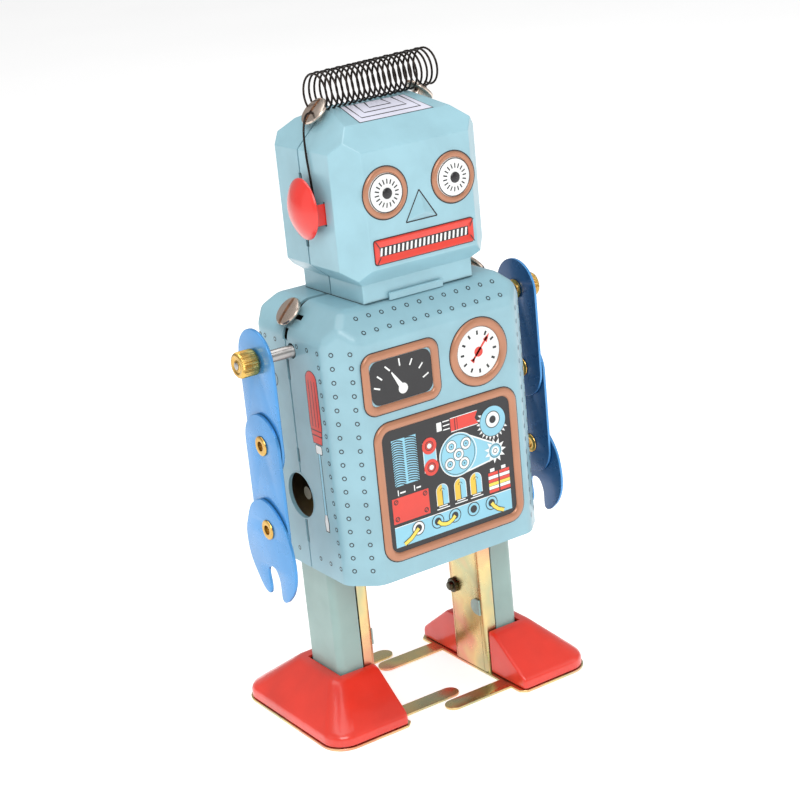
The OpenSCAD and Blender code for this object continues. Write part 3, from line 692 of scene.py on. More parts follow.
# outlines of the bezels, gauge and dial faces
art.frame(K, -16.12, 16.12, 35.59, 62.86, 3.45, 0.3)
art.frame(K, -17.26, -0.26, 64.34, 76.26, 2.55, 0.3)
art.ring(K, dial_x, dial_z, dial_r - 0.1, dial_r + 0.16, 0, 64)
art.box(K, -14.4, 14.4, 37.3, 61.1, 2.0)
art.box(K, -15.4, -2.1, 66.2, 74.4, 1.8)
art.disc(K, dial_x, dial_z, 5.0, 0, 64)
art.disc(W, dial_x, dial_z, 4.72, 1, 64)

# square gauge
GAUGE = [((-14.8, 69.7), (-13.5, 69.2)), ((-13.9, 71.7), (-12.9, 70.8)), ((-12.1, 73.1), (-11.1, 72.1)),
         ((-9.0, 73.9), (-8.9, 72.5)), ((-6.2, 73.2), (-6.8, 72.1)), ((-4.0, 71.9), (-4.9, 71.0)),
         ((-2.9, 69.7), (-4.2, 69.1))]
for a, b in GAUGE:
    art.line(W, [a, b], 0.3, 1)
art.disc(W, -8.6, 68.2, 1.0, 1)
art.line(W, [(-8.6, 68.2), (-10.8, 71.7)], 1.15, 2, 0.25)

# round dial
for i in range(12):
    a = math.radians(30 * i)
    p = [(dial_x + r * math.cos(a), dial_z + r * math.sin(a)) for r in (3.25, 4.05)]
    art.line(K, p, 0.42, 2)
art.line(R, [(dial_x - 1.5, dial_z - 1.5), (dial_x + 2.15, dial_z + 2.4)], 0.42, 3)
art.disc(R, dial_x, dial_z, 0.95, 3, 20)
art.poly(R, [(dial_x + 1.2, dial_z + 2.1), (dial_x + 2.0, dial_z + 1.3), (dial_x + 2.7, dial_z + 3.0)], 3)
art.poly(R, [(dial_x - 2.0, dial_z - 1.2), (dial_x - 1.2, dial_z - 2.0), (dial_x - 0.8, dial_z - 0.8)], 3)

# ribbed block
art.rect(S, -12.4, -7.0, 50.1, 59.0, 1)
for i in range(19):
    z = 50.4 + 0.46 * i
    art.line(K, [(-12.4, z - 0.25), (-12.0, z + 0.05), (-11.2, z + 0.1), (-10.5, z - 0.1),
                 (-9.95, z - 0.4)], 0.22, 2)
    art.line(K, [(-9.45, z + 0.2), (-8.9, z + 0.25), (-8.0, z + 0.1), (-7.4, z - 0.1), (-7.0, z - 0.45)],
             0.22, 2)

# bobbins and their belt
art.rect(W, -5.75, -2.85, 50.9, 56.7, 1)
art.rect(S, -5.6, -3.0, 50.9, 56.7, 2)
for x, z in ((-4.3, 55.9), (-4.2, 51.7)):
    art.disc(R, x, z, 1.6, 4)
    art.ring(K, x, z, 0.78, 0.92, 5)
    art.disc(W, x, z, 0.5, 5)
    art.ring(K, x, z, 0.5, 0.58, 6, 20)

# valve and piston
art.rect(W, -2.3, -1.2, 58.0, 59.7, 1)
for z in (59.6, 58.8, 58.0):
    art.line(W, [(-0.9, z), (0.6, z)], 0.22, 1)
art.rect(R, 0.8, 5.8, 57.3, 59.7, 1)
art.poly(R, [(5.8, 57.3), (7.0, 57.3), (6.3, 58.5), (7.0, 59.7), (5.8, 59.7)], 1)
art.line(K, [(1.8, 57.3), (1.8, 59.7)], 0.18, 2)
art.line(K, [(2.3, 57.3), (2.3, 59.7)], 0.10, 2)
art.line(W, [(0.8, 57.2), (6.9, 57.2)], 0.14, 2)
art.line(W, [(0.8, 59.8), (6.9, 59.8)], 0.14, 2)

# large gear
for i in range(13):
    a = math.radians(150 + 15 * i)
    tooth = [(r * math.cos(a + d), r * math.sin(a + d)) for r, d in ((2.9, -0.11), (3.75, 0.0), (2.9, 0.11))]
    art.poly(W, [(10.3 + u, 56.8 + v) for u, v in tooth], 1)
art.disc(S, 10.3, 56.8, 3.0, 2, 40)
art.ring(K, 10.3, 56.8, 2.9, 3.02, 3, 40)
art.ring(W, 10.3, 57.1, 0.75, 1.55, 3)
art.ring(K, 10.3, 57.1, 1.5, 1.66, 4)
art.disc(K, 10.3, 57.1, 0.72, 4)

# large disc, its belt and the star
art.poly(W, [(3.0, 56.6), (10.4, 52.5), (10.4, 49.3), (2.0, 48.3)], 1)
art.poly(S, [(3.0, 56.3), (10.3, 52.2), (10.3, 49.6), (2.0, 48.6)], 2)
art.disc(W, 1.9, 52.5, 4.25, 3, 48)
art.disc(S, 1.9, 52.5, 4.08, 4, 48)
art.ring(K, 1.9, 52.5, 3.75, 3.85, 5, 48)
for x, z in ((2.0, 52.5), (0.5, 54.4), (3.8, 54.2), (-0.1, 51.1), (3.1, 50.5)):
    art.disc(K, x, z, 1.22, 5)
    art.disc(W, x, z, 1.1, 6)
    art.disc(K, x, z, 0.66, 7, 18)
    art.disc(S, x, z, 0.54, 8, 18)
    art.disc(K, x, z, 0.16, 9, 10)
art.star(W, 10.3, 50.9, 1.5, 2.5, 11, 5)
art.disc(S, 10.3, 50.9, 1.45, 6)
art.ring(K, 10.3, 50.9, 1.2, 1.32, 7)
art.disc(W, 10.3, 50.9, 0.85, 7)
art.ring(K, 10.3, 50.9, 0.36, 0.48, 8)

# red plate with its screws, and the dashes above it
art.rect(K, -13.6, -5.2, 42.9, 48.1, 1)
art.rect(R, -13.45, -5.35, 43.05, 47.95, 2)
for x, z in ((-12.6, 47.2), (-6.15, 47.2), (-6.15, 43.9), (-12.6, 43.9)):
    art.disc(K, x, z, 0.5, 3, 16)
    art.disc(R, x, z, 0.32, 4, 16)
    art.line(K, [(x - 0.25, z - 0.2), (x + 0.25, z + 0.2)], 0.12, 5)
art.line(W, [(-11.5, 48.75), (-10.3, 48.75)], 0.3, 1)
art.line(W, [(-7.9, 48.75), (-6.9, 48.75)], 0.3, 1)
for x in (-11.9, -8.3):
    art.line(W, [(x, 48.3), (x, 49.4)], 0.22, 1)

# bulbs
for x in (-3.6, 0.5, 4.1):
    half = 1.25
    mid = x + half
    arch = arc(mid, 46.55, half, 180, 0, 12)
    art.poly(W, [(x - 0.12, 43.8)] + arc(mid, 46.55, half + 0.12, 180, 0,
                                         12) + [(x + 2 * half + 0.12, 43.8)], 1)
    art.poly(S, [(x, 43.8)] + arch + [(x + 2 * half, 43.8)], 2)
    art.poly(A, [(x, 43.8)] + arc(mid, 46.55, half, 180, 90, 6) + [(mid, 43.8)], 3)
    art.line(K, [(mid, 43.8), (mid, 46.6)], 0.14, 4)
    art.line(K, arc(mid, 46.6, 0.45, 0, 180, 8), 0.1, 4)
    art.line(W, [(x + 0.3, 43.55), (x + 2.2, 43.55)], 0.2, 1)
    art.line(W, [(x - 0.2, 43.1), (x + 2.7, 43.1)], 0.2, 1)

# battery block
for i, ink in enumerate((R, W, Y, R, W, R)):
    z0 = 42.8 + 0.68 * i
    art.rect(ink, 8.3, 10.55, z0, z0 + 0.6, 1)
    art.rect(ink, 10.85, 13.2, z0, z0 + 0.6, 1)
for x in (9.3, 11.9):
    art.rect(W, x - 0.5, x + 0.5, 46.95, 47.6, 1)

# strip with jacks and cables
art.rect(S, -13.4, 13.2, 38.4, 42.3, 1)
art.line(W, [(-13.4, 42.36), (13.2, 42.36)], 0.14, 2)
JACKS = (-8.3, -3.9, 0.0, 4.3, 8.5)


def cable(points):
    art.line(K, points, 0.95, 6)
    art.line(Y, points, 0.68, 7)


for i, x in enumerate(JACKS):
    art.disc(K, x, 40.9, 1.4, 3)
    art.disc(W if i == 0 else S, x, 40.9, 1.22, 4)
    art.disc(K, x, 40.9, 0.75, 5)
cable([(-8.3, 40.9), (-9.0, 40.3), (-10.1, 39.4), (-11.6, 38.7)])
cable([(-3.9, 40.9), (-3.2, 40.2), (-2.3, 39.9), (-1.5, 39.9), (-0.6, 40.3), (0.0, 40.9)])
cable([(8.5, 40.9), (9.0, 40.1), (9.9, 39.3), (11.2, 38.7)])

# dots: top bevel, chamfers and sides
art.done("print_front", "torso", "body_litho")
slope = math.sqrt(0.5)
DOT_TOP = 76.7
DOT_STEP = 2.594


def bevel_dots(name, end):
    """Two rows of dots on a top bevel; end is -1 at the front and 1 at the back."""
    origin = (0, end * body_y, body_top - bevel)
    rows = Print(origin, (1, 0, 0), (0, -end * slope, slope), (0, end * slope, slope))
    for i in range(12):
        u = -15.07 + 2.74 * i
        rows.dot(u, 4.53)
        rows.dot(u, 1.42)
    rows.done(name, "torso", "body_litho")


def corner_dots(name, side, end):
    """Two columns of dots on a corner chamfer."""
    origin = (side * body_x, end * (body_y - chamfer), 0)
    columns = Print(origin, (-side * slope, end * slope, 0), (0, 0, 1), (side * slope, end * slope, 0))
    width = chamfer / slope
    for i in range(17):
        z = DOT_TOP - DOT_STEP * i
        columns.dot(0.26 * width, z)
        columns.dot(0.78 * width, z)
    columns.done(name, "torso", "body_litho")


bevel_dots("print_top_dots", -1)
for side, tag in ((-1, "right"), (1, "left")):
    corner_dots("print_corner_" + tag, side, -1)
    flank = Print((side * body_x, 0, 0), (0, 1, 0), (0, 0, 1), (side, 0, 0))
    for i in range(17):
        flank.dot(-9.7, DOT_TOP - DOT_STEP * i)
        flank.dot(10.2, DOT_TOP - DOT_STEP * i)
    for i in range(1, 3):
        flank.dot(-9.7 + 3.5 * i, DOT_TOP)
        flank.dot(-9.7 + 3.5 * i, 35.2)
    for i in range(4, 6):
        flank.dot(-9.7 + 3.65 * i, DOT_TOP)
        flank.dot(-9.7 + 3.65 * i, 35.2)
    # printed screwdriver
    handle = [(-7.9, 59.0), (-5.1, 59.0), (-4.6, 62.5), (-4.7, 70.5)] + arc(-6.5, 71.0, 1.8, 15, 165,
                                                                            8) + [(-8.3, 70.5), (-8.4, 62.5)]
    grown = [(-6.5 + 1.1 * (u + 6.5), 66.0 + 1.02 * (v - 66.0)) for u, v in handle]
    flank.poly(K, grown, 0)
    flank.poly(R, handle, 1)
    for u in (-7.5, -6.5, -5.5):
        flank.line(K, [(u, 62.2), (u, 71.0)], 0.16, 2)
    flank.line(K, [(-8.2, 61.5), (-4.8, 61.5)], 0.2, 2)
    flank.line(K, [(-8.1, 60.5), (-4.9, 60.5)], 0.2, 2)
    flank.outlined(W, -7.6, -5.6, 57.0, 58.6, 0.3, 0, 0.14)
    flank.outlined(S, -6.9, -6.2, 45.0, 57.0, 0.2, 0, 0.14)
    flank.poly(K, [(-7.0, 45.0), (-6.1, 45.0), (-5.75, 43.6), (-5.9, 41.6), (-7.2, 41.6), (-7.35, 43.6)], 0)
    flank.poly(W, [(-6.85, 45.0), (-6.25, 45.0), (-5.95, 43.6), (-6.1, 41.8), (-7.0, 41.8), (-7.15, 43.6)], 1)
    flank.ring(D, 7.0, 68.6, 1.2, 1.45, 0)
    flank.done("print_flank_" + tag, "torso", "body_litho")
    corner_dots("print_rear_corner_" + tag, side, 1)
bevel_dots("print_back_dots", 1)
back_art = Print((0, body_y, 0), (-1, 0, 0), (0, 0, 1), (0, 1, 0))
back_art.frame(K, -14.6, 14.6, 38.0, 74.5, 3.0, 0.35)
back_art.frame(C, -14.25, 14.25, 38.35, 74.15, 2.7, 1.1)
back_art.frame(K, -13.15, 13.15, 39.45, 73.05, 1.7, 0.25)
for i in range(9):
    back_art.outlined(D, -9.5, 9.5, 46.0 + 2.6 * i, 46.9 + 2.6 * i, 0.4, 0, 0.1)
for x, z in ((-11.4, 41.4), (11.4, 41.4), (-11.4, 71.2), (11.4, 71.2)):
    back_art.disc(K, x, z, 0.95, 0)
    back_art.disc(C, x, z, 0.8, 1)
    back_art.line(K, [(x - 0.5, z - 0.5), (x + 0.5, z + 0.5)], 0.2, 2)
back_art.done("print_back", "torso", "body_litho")

# bottom plate
slot_half = 5.65 + 2.4 + 1
holes = []
for side in (-1, 1):
    holes.append(rounded(side * 15.55 - 4.95, side * 15.55 + 4.95, 2.4 - slot_half, 2.4 + slot_half, 1.0, 4))
inner_x = body_x - 0.6
inner_y = body_y - 0.6
low_plate = sheet_plate([chamfered(inner_x, -inner_y, inner_y, chamfer)] + holes, 0.6, 0.12,
                        lambda u, v, h: (u, v, body_low + 0.6 + h))
put(finish_object("base_plate", low_plate, [PLATE_RED]), "torso", "red_plate", "bottom_plate")

# ---------------------------------------------------------------- head

head_x = 15.7
head_front = -14.2
head_back = span("head_back")[1].y
head_low = 90.2
head_high = 111.3
head_top = 115.4
neck_front = -11.0
neck_back = head_back - 3.2
neck_top = 87.1
rise = 0.2405


def head_block():
    ridge = head_top + rise * 9.4
    roof_back = head_back - 4.8
    plan = chamfered(head_x, head_front, head_back, 4.2)
    wide = 4.4 * (ridge - head_high) / (head_top - head_high)
    front = [(-neck_x, neck_top), (neck_x, neck_top), (head_x, head_low), (head_x, head_high),
             (head_x - wide, ridge),
             (-head_x + wide, ridge), (-head_x, head_high), (-head_x, head_low)]
    side = [(neck_front, neck_top), (neck_back, neck_top), (head_back, head_low), (head_back, head_high),
            (roof_back, head_top),
            (0.4, ridge), (0, ridge), (-9.4, head_top), (head_front, head_high), (head_front, head_low)]
    bm = block(plan, front, side)
    base = [f for f in bm.faces if all(v.co.z < neck_top + 0.01 for v in f.verts)]
    more = bmesh.ops.extrude_face_region(bm, geom=base)
    low = [v for v in more["geom"] if isinstance(v, bmesh.types.BMVert)]
    bmesh.ops.translate(bm, vec=(0, 0, body_top - neck_top), verts=low)
    bmesh.ops.delete(bm, geom=[f for f in base if f.is_valid], context="FACES_ONLY")
    bmesh.ops.recalc_face_normals(bm, faces=bm.faces[:])
    floor = body_top + 0.01
    soften(bm, 1.6, lambda e: all(v.co.z < floor for v in e.verts), 5)
    return drop_faces(bm, lambda f: all(v.co.z < floor for v in f.verts))


def head_half(name, node, sign, paintwork):
    bm = head_block()
    keep_side(bm, (0, sign * SEAM_HALF, 0), (0, -sign, 0))
    obj = thicken(finish_object(name, bm, [paintwork], 50), SHEET, INSIDE)
    cuts = []
    for side in (-1, 1):
        cuts.append(box_bm(side * head_x - 2, side * head_x + 2, -7.45, -6.55, 98.2, 102.6))
        cuts.append(box_bm(side * head_x - 2, side * head_x + 2, -0.5, 0.5, 104.0, 107.0))
        cuts.append(box_bm(side * head_x - 2, side * head_x + 2, -0.5, 0.5, 93.5, 96.5))
    cut_out(obj, *cuts)
    return put(weighted(obj), "torso", "head_litho", node)


head_half("face_shell", "head_front", -1, HEAD)
head_half("head_shell_back", "head_back", 1, BODY)

face = Print((0, head_front, 0), (1, 0, 0), (0, 0, 1), (0, -1, 0))
eye_x = 7.32
eye_z = 103.5


def dome(u, v):
    r = math.hypot(u, v)
    return 0.16 + 0.55 * math.sqrt(max(0.0, 1 - (r / 3.75) ** 2))


EYE_RIM = [(0.0, -0.1), (0.06, 0.14), (0.25, 0.34), (0.55, 0.42), (0.85, 0.36), (1.08, 0.2), (1.16, -0.05)]
eye_rims = bmesh.new()
eye_balls = bmesh.new()
pupils = bmesh.new()
for side in (-1, 1):
    add(eye_rims, rim_loft(lambda i: circle(side * eye_x, eye_z, 4.66 - i, 56), EYE_RIM, head_front))
    rings = [(3.62, 0.0), (3.55, 0.2)] + [(r, dome(r, 0)) for r in (3.3, 2.9, 2.4, 1.8, 1.2, 0.6, 0.02)]
    add(eye_balls, rim_loft(lambda i: circle(side * eye_x, eye_z, 3.62 - i, 56),
                            [(3.62 - r, h) for r, h in rings], head_front))
    rings = [(1.0, 0.6), (0.98, 0.8), (0.9, 0.9), (0.72, 0.98), (0.45, 1.03), (0.22, 1.05), (0.02, 1.06)]
    add(pupils, rim_loft(lambda i: circle(side * eye_x, eye_z, 1.0 - i, 40),
                         [(1.0 - r, h) for r, h in rings], head_front))
    face.ring(K, side * eye_x, eye_z, 4.6, 4.84, 0, 56)
    lens = Print((side * eye_x, head_front, eye_z), (1, 0, 0), (0, 0, 1), (0, -1, 0), dome)
    lens.ring(K, 0, 0, 3.34, 3.5, 0, 56)
    for i in range(18):
        a = math.radians(20 * i + 4)
        p = [(r * math.cos(a), r * math.sin(a)) for r in (1.7, 2.1, 2.55)]
        lens.line(K, p, 0.24, 0)
    lens.done("print_eye_" + ("right" if side < 0 else "left"), "torso", "head_litho")
put(finish_object("eye_rims", eye_rims, [COPPER]), "torso", "head_litho")
put(finish_object("eye_balls", eye_balls, [WHITE]), "torso", "head_litho")
put(finish_object("pupils", pupils, [BLACK]), "torso", "head_litho")

# nose
nose = bmesh.new()
tip = nose.verts.new((-0.15, head_front - 1.15, 98.7))
corners = [nose.verts.new((x, head_front + 0.1, z)) for x, z in ((-3.4, 97.45), (3.1, 97.45), (-0.2, 102.5))]
for a, b in zip(corners, corners[1:] + corners[:1]):
    nose.faces.new((a, b, tip))
bmesh.ops.recalc_face_normals(nose, faces=nose.faces[:])
if sum(f.normal.y for f in nose.faces) > 0:
    bmesh.ops.reverse_faces(nose, faces=nose.faces[:])
bmesh.ops.bevel(nose, geom=[e for e in nose.edges if len(e.link_faces) == 2], offset=0.22, segments=3,
                profile=0.5,
                affect="EDGES")
put(finish_object("nose", nose, [HEAD], 60), "torso", "head_litho")
NOSE = [(-3.5, 97.35), (3.2, 97.35), (-0.2, 102.7)]
for a, b in zip(NOSE, NOSE[1:] + NOSE[:1]):
    face.line(K, [a, b], 0.24)

# mouth
MOUTH = [(0.0, -0.1), (0.05, 0.3), (0.2, 0.45), (0.5, 0.42), (1.05, 0.12), (1.1, -0.05)]
mouth_z = 93.22


def mouth_line(i):
    j = i * 0.66 / 1.1
    return rounded(-10.7 + i, 10.7 - i, mouth_z - 2.15 + i * 1.25, mouth_z + 2.2 - i * 1.25,
                   max(0.12, 0.5 - j * 0.5), 4)


put(finish_object("mouth_rim", rim_loft(mouth_line, MOUTH, head_front), [RED]), "torso", "head_litho")
face.frame(K, -10.86, 10.86, mouth_z - 2.31, mouth_z + 2.36, 0.6, 0.3)
face.rect(K, -9.85, 9.85, 92.35, 94.05, 1)
for i in range(21):
    x = -9.35 + 0.92 * i
    face.poly(W, [(x - 0.24, 92.5), (x + 0.18, 92.5), (x + 0.42, 93.9), (x, 93.9)], 2)
corner_lines = Print((0, head_front, 0), (1, 0, 0), (0, 0, 1), (0, -1, 0), lambda u, v: 0.5)
for sx in (-1, 1):
    for z0, z1 in ((mouth_z - 2.1, 92.4), (mouth_z + 2.15, 94.0)):
        corner_lines.line(K, [(sx * 10.62, z0), (sx * 9.75, z1)], 0.16)
corner_lines.done("print_mouth_corners", "torso", "head_litho")
face.done("print_face", "torso", "head_litho")

# white panel on the roof
roof_n = Vector((0, -rise, 1)).normalized()
roof_v = Vector((0, 1, rise)).normalized()
roof = Print((0, -9.4, head_top), (1, 0, 0), roof_v, roof_n)
roof.poly(K, [(-7.95, 0.15), (7.95, 0.15), (6.9, 8.2), (-6.9, 8.2)])
roof.poly(L, [(-7.75, 0.35), (7.75, 0.35), (6.75, 8.1), (-6.75, 8.1)], 1)
for half, front in ((6.3, 2.0), (4.5, 3.9), (2.3, 5.6)):
    roof.line(K, [(-half + 0.5, 8.1), (-half, front), (half, front), (half - 0.5, 8.1)], 0.35, 2)
roof.done("print_roof", "torso", "head_litho")

# line round the neck's foot and the tongue in front of it
deck = Print((0, 0, body_top), (1, 0, 0), (0, 1, 0), (0, 0, 1))
deck.frame(K, -neck_x - 0.3, neck_x + 0.3, neck_front - 0.3, neck_back + 0.3, 1.2, 0.4)
deck.done("print_deck", "torso", "body_litho")
tongue = box_bm(-6.9, 4.9, neck_front - 0.75, neck_front - 0.3, body_top - 0.3, body_top + 1.1, 0.15)
put(finish_object("neck_tongue", tongue, [BODY]), "torso", "body_litho")

# ---------------------------------------------------------------- antenna

coil_r = 3.4
coil_half = 12.55
coil_x = 1.15
coil_z = 120.95
coil_slope = 0.9
turns = 22
steps = 26
count = turns * steps
path = smooth_path([(-16.05, -4.7, 101.2), (-16.05, -4.4, 103.5), (-16.05, -3.9, 107.2),
                    (-16.0, -3.35, 111.0), (-15.5, -2.6, 114.8),
                    (-14.3, -1.9, 117.2), (-12.6, -1.1, 117.3), (-11.6, -0.4, 117.1)], 6)
for i in range(count + 1):
    a = -math.pi / 2 + 2 * math.pi * i / steps
    along = i / count - 0.5
    r = coil_r + 0.05 * math.sin(i * 0.37)
    path.append(Vector((coil_x + 2 * coil_half * along, r * math.cos(a),
                        coil_z + coil_slope * along + r * math.sin(a))))
path += smooth_path([(13.9, 0.9, 118.1), (14.4, 2.3, 118.1), (15.1, 3.4, 117.2), (15.8, 3.9, 115.0),
                     (16.3, 4.2, 112), (16.2, 4.7, 106),
                     (16.05, 5.2, 101.2)], 6)
put(finish_object("antenna", tube(path, 0.2, 10), [WIRE]), "torso", "black_wire", "antenna_spring")


# ---------------------------------------------------------------- lugs and ears

def lug_bm():
    """Round tab: a domed disc on a stem, standing on z = 0. Its slit is cut by lug, which splits it."""
    rings = []
    for r, z in ((0.9, -1.2), (0.9, 1.1), (2.6, 1.1), (2.85, 1.25), (2.9, 1.5), (2.75, 1.75), (2.3, 1.91),
                 (1.2, 2.0), (0.02, 2.02)):
        rings.append([(x, y, z) for x, y in circle(0, 0, r, 40)])
    bm = loft(rings, start=True, end=True)
    bmesh.ops.recalc_face_normals(bm, faces=bm.faces[:])
    return bm


def lug(name, x, y, z, tilt):
    obj = finish_object(name, lug_bm(), [TIN])
    cut_out(obj, box_bm(-3.4, 3.4, -0.42, 0.42, 1.2, 3.0))
    turn = Matrix.Translation((x * MM, y * MM, z * MM)) @ Matrix.Rotation(math.radians(tilt), 4, "Y")
    obj.data.transform(turn)
    obj.data.update()
    return obj


head_lug_x = 10.4
lug_z = head_high + (head_x - head_lug_x) * (head_top - head_high) / 4.4
for side, tag in ((-1, "right"), (1, "left")):
    low = lug("lug_shoulder_" + tag, side * (body_x - bevel / 2), seam_y, body_top - bevel / 2, side * 45)
    high = lug("lug_head_" + tag, side * head_lug_x, 0, lug_z, side * 43)
    put(low, "torso", "bare_tinplate", "seam_lugs")
    put(high, "torso", "bare_tinplate")

for side, tag, rim_x, swing in ((-1, "right", 17.8, 5), (1, "left", 16.3, 0)):
    profile = [(0.02, 2.0), (1.15, 1.94), (2.3, 1.7), (3.4, 1.3), (4.3, 0.82), (5.0, 0.38), (5.38, 0.1),
               (5.56, -0.12), (5.6, -0.3),
               (5.5, -0.4), (5.3, -0.28), (4.8, 0.0), (4.1, 0.45), (3.1, 0.95), (1.9, 1.35), (0.02, 1.6)]
    rings = [[(h, y, z) for y, z in circle(0, 0, r, 48)] for r, h in profile]
    ear = loft(rings, start=True, end=True)
    bmesh.ops.recalc_face_normals(ear, faces=ear.faces[:])
    turn = Matrix.Translation((rim_x, -3.0, 101.2)) @ Matrix.Rotation(math.radians(swing), 4, "Z")
    bmesh.ops.transform(ear, matrix=turn, verts=ear.verts[:])
    strap = box_bm(head_x - 1.2, rim_x + 0.8, -7.25, -6.75, 98.5, 102.3, 0.16)
    add(ear, strap)
    on_side(ear, side)
    put(finish_object("ear_cap_" + tag, ear, [EAR_RED]), "torso", "ear_red", "ear_" + tag)

# ---------------------------------------------------------------- arms

shaft = [(-33.7, 0.5), (-33.6, 0.7), (-33.4, 0.75), (-28.55, 0.75), (-28.5, 1.05), (-28.35, 1.15),
         (28.35, 1.15), (28.5, 1.05),
         (28.55, 0.75), (33.4, 0.75), (33.6, 0.7), (33.7, 0.5)]
put(finish_object("shoulder_rod", rod(shaft, rod_y, rod_z, 32), [STEEL]), "torso", "steel", "arm_rod")

arm_x = 29.1
arm_t = 0.6
half = 5.95
elbow_z = 59.5
wrist_z = 43.3


def strip_loop(z_high, z_low):
    return arc(rod_y, z_high, half, 0, 180, 24) + arc(rod_y, z_low, half, 180, 360, 24)


def side_plate(outlines, x0):
    """Arm strip; its face towards the body takes the second paint, a darker blue that is painted shade where
    the body keeps the light off.
    """
    bm = sheet_plate(outlines, arm_t, 0.13, lambda u, v, h: (x0 + arm_t / 2 + h, u, v))
    for f in bm.faces:
        f.normal_update()
        # faces looking towards the body take the darker blue, painted shade
        f.material_index = 1 if f.normal.x < -0.5 else 0
    return bm


def eyelet(x0, x1, y, z, r=1.3, flange=1.9, bore=0.8):
    """Rolled eyelet: a tube with a rounded flange at each end."""
    loop = [(x0, bore + 0.25), (x0 - 0.12, bore + 0.1), (x0 - 0.28, bore + 0.12), (x0 - 0.36, bore + 0.4),
            (x0 - 0.34, flange - 0.35),
            (x0 - 0.22, flange - 0.06), (x0 - 0.08, flange), (x0, flange - 0.1), (x0, r), (x1, r),
            (x1, flange - 0.1),
            (x1 + 0.08, flange), (x1 + 0.22, flange - 0.06), (x1 + 0.34, flange - 0.35),
            (x1 + 0.36, bore + 0.4),
            (x1 + 0.28, bore + 0.12), (x1 + 0.12, bore + 0.1), (x1, bore + 0.25)]
    return ring_rod(loop, y, z, 36)


HAND = [(2.7, 48.4), (5.2, 46.6), (7.1, 43.2), (7.9, 40.9), (7.9, 38.2), (7.4, 36.0), (6.5, 34.2),
        (4.5, 31.4), (3.4, 30.3), (2.3, 29.8),
        (1.5, 29.9), (1.1, 30.6), (1.0, 31.9), (1.3, 34.1), (0.8, 35.3), (-0.4, 35.8), (-1.6, 35.5),
        (-2.3, 34.6), (-2.8, 33.1),
        (-2.8, 30.6), (-3.0, 29.8), (-3.7, 29.5), (-4.8, 29.9), (-5.8, 30.7), (-7.0, 31.9), (-8.0, 33.5),
        (-8.7, 35.5), (-8.85, 38.3),
        (-8.3, 41.4), (-7.4, 43.6), (-6.1, 45.4), (-4.3, 47.2), (-1.9, 48.5), (0.5, 48.9)]
hand_loop = [(p.x, p.y) for p in smooth_path([(a, b, 0) for a, b in HAND + HAND[:1]], 4)][:-1]

for side, tag in ((-1, "right"), (1, "left")):
    fore_x = arm_x + arm_t + 0.15
    hand_x = fore_x + arm_t + 0.15
    upper = side_plate([strip_loop(rod_z, elbow_z), circle(rod_y, rod_z, 1.3), circle(rod_y, elbow_z, 1.3)],
                       arm_x)
    put(finish_object("strip_upper_" + tag, on_side(upper, side), [ARM_BLUE, ARM_PAINTED_SHADE]), "upper_arm_" + tag,
        "arm_blue", "upper_arm_" + tag)
    fore = side_plate([strip_loop(elbow_z, wrist_z), circle(rod_y, elbow_z, 1.35),
                       circle(rod_y, wrist_z, 1.3)], fore_x)
    put(finish_object("strip_fore_" + tag, on_side(fore, side), [ARM_BLUE, ARM_PAINTED_SHADE]), "forearm_" + tag,
        "arm_blue", "forearm_" + tag)
    palm = side_plate([hand_loop, circle(rod_y, wrist_z, 1.35)], hand_x)
    put(finish_object("claw_hand_" + tag, on_side(palm, side), [ARM_BLUE, ARM_PAINTED_SHADE]), "hand_" + tag,
        "arm_blue", "hand_" + tag)
    ring = eyelet(arm_x, fore_x + arm_t + 0.05, rod_y, elbow_z)
    put(finish_object("eyelet_elbow_" + tag, on_side(ring, side), [BRASS]), "upper_arm_" + tag, "brass",
        "elbow_eyelet_" + tag)
    ring = eyelet(fore_x, hand_x + arm_t + 0.05, rod_y, wrist_z)
    put(finish_object("eyelet_wrist_" + tag, on_side(ring, side), [BRASS]), "forearm_" + tag, "brass",
        "wrist_eyelet_" + tag)
    bush = ring_rod([(28.6, 0.8), (28.6, 1.7), (28.7, 1.9), (28.95, 1.9), (29.08, 1.75), (29.1, 1.3),
                     (29.88, 1.3), (29.9, 0.8)],
                    rod_y, rod_z, 36)
    put(finish_object("bush_" + tag, on_side(bush, side), [BRASS]), "upper_arm_" + tag, "brass",
        "arm_bush_" + tag)
    hub = ring_rod([(29.95, 0.76), (29.95, 2.25), (30.12, 2.45), (30.4, 2.46), (32.6, 2.46), (33.0, 2.44),
                    (33.35, 2.26), (33.5, 2.0),
                    (33.46, 1.55), (33.3, 1.4), (33.3, 0.95), (33.42, 0.85), (33.45, 0.76)], rod_y, rod_z,
                    192, 44, 0.14)
    put(finish_object("knurled_hub_" + tag, on_side(hub, side), [BRASS], 60), "torso", "brass",
        "arm_hub_" + tag)

# ---------------------------------------------------------------- legs

leg_y = 2.4
leg_half = 5.65
crank_z = 37.1
bracket_x = 11.4
near_sole = span("sole_plate_right")[0]
far_sole = span("sole_plate_left")[0]
lift = near_sole.z - far_sole.z
pin_y = (near_sole.y - far_sole.y) / 2
pin_z = lift / 2
guide_z = arbor_z - pin_z


def leg_side(bm, side):
    return moved(on_side(bm, side), 0, -side * pin_y, lift if side < 0 else 0)


